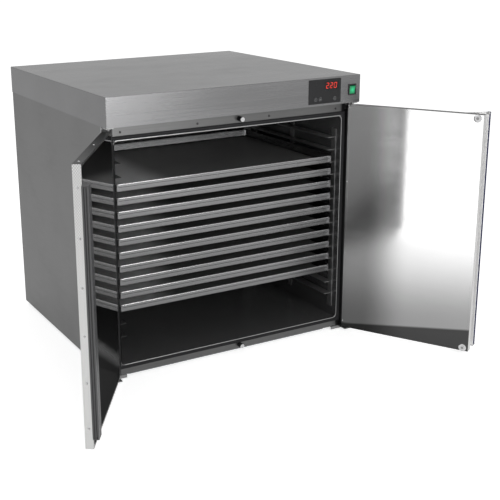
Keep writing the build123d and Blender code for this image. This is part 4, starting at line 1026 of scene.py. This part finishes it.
# ---------------------------------------------------------------- stage, light and camera

FLOOR_GLOW = 0.62
SURROUND_LIGHT = 0.55


def seen_directly(tree):
    """1 for the rays by which the camera, a mirror or glass sees a surface, and 0 for those that only light it."""
    path = tree.nodes.new("ShaderNodeLightPath")
    seen = math_node(tree, "MAXIMUM", path.outputs["Is Camera Ray"], path.outputs["Is Glossy Ray"])
    return math_node(tree, "MAXIMUM", seen, path.outputs["Is Transmission Ray"])


def build_stage():
    """A pale floor and a white surround that mirrors and glass see too."""
    bpy.ops.mesh.primitive_plane_add(size=40, location=(0, 0, 0))
    floor = bpy.context.object
    floor.name = "studio_floor"
    made, tree, shader, _ = new_material("studio_floor")
    shader.inputs["Base Color"].default_value = (0.88, 0.88, 0.88, 1)
    shader.inputs["Roughness"].default_value = 0.9
    shader.inputs["Specular IOR Level"].default_value = 0.0
    glow = tree.nodes.new("ShaderNodeEmission")
    added = tree.nodes.new("ShaderNodeAddShader")
    tree.links.new(math_node(tree, "MULTIPLY", seen_directly(tree), FLOOR_GLOW), glow.inputs["Strength"])
    tree.links.new(shader.outputs["BSDF"], added.inputs[0])
    tree.links.new(glow.outputs["Emission"], added.inputs[1])
    tree.links.new(added.outputs["Shader"], tree.nodes["Material Output"].inputs["Surface"])
    floor.data.materials.append(made)

    world = bpy.data.worlds.new("studio_white")
    bpy.context.scene.world = world
    world.use_nodes = True
    tree = world.node_tree
    surround = tree.nodes["Background"]
    surround.inputs["Color"].default_value = (1, 1, 1, 1)
    tree.links.new(map_range(tree, seen_directly(tree), 0.0, 1.0, SURROUND_LIGHT, 1.0), surround.inputs["Strength"])


def area_lamp(name, place, aim, size, power):
    """A soft rectangular lamp that the camera doesn't see."""
    data = bpy.data.lights.new(name, "AREA")
    data.shape = "RECTANGLE"
    data.size, data.size_y = size
    data.energy = power
    lamp = bpy.data.objects.new(name, data)
    bpy.context.scene.collection.objects.link(lamp)
    lamp.location = place
    lamp.rotation_euler = (Vector(aim) - Vector(place)).to_track_quat("-Z", "Y").to_euler()
    lamp.visible_camera = False


CAMERA_PLACE = (-1.36574, -2.6510, 1.17705)
CAMERA_TURN = (0.493, 0.2836, -0.0126)
CAMERA_LENS = 70.767
CAMERA_SHIFT = (0.10694, -0.04938)


def place_camera():
    """The camera, from its place, its turn, its tilt down and its slight roll."""
    azimuth, elevation, roll = CAMERA_TURN
    data = bpy.data.cameras.new("view")
    camera = bpy.data.objects.new("view", data)
    bpy.context.scene.collection.objects.link(camera)
    bpy.context.scene.camera = camera
    forward = Vector((math.sin(azimuth) * math.cos(elevation), math.cos(azimuth) * math.cos(elevation),
                      -math.sin(elevation)))
    right = Vector((math.cos(azimuth), -math.sin(azimuth), 0))
    up = right.cross(forward)
    across = math.cos(roll) * right + math.sin(roll) * up
    upward = math.cos(roll) * up - math.sin(roll) * right
    turn = Matrix((across, upward, -forward)).transposed()
    camera.matrix_world = Matrix.Translation(CAMERA_PLACE) @ turn.to_4x4()
    data.sensor_width = 36.0
    data.lens = CAMERA_LENS
    data.shift_x, data.shift_y = CAMERA_SHIFT
    data.clip_end = 60.0


build_stage()
area_lamp("key_lamp", place=(0.35, -3.2, 1.1), aim=(-0.3, -0.3, 0.6), size=(0.9, 1.4), power=40)
area_lamp("top_lamp", place=(0.4, 0.9, 3.0), aim=(0.0, 0.0, 0.7), size=(2.4, 2.4), power=18)
area_lamp("left_lamp", place=(-3.4, -1.0, 1.6), aim=(0.0, 0.0, 0.4), size=(1.6, 1.6), power=8)
place_camera()
bpy.context.scene.view_settings.view_transform = "Standard"
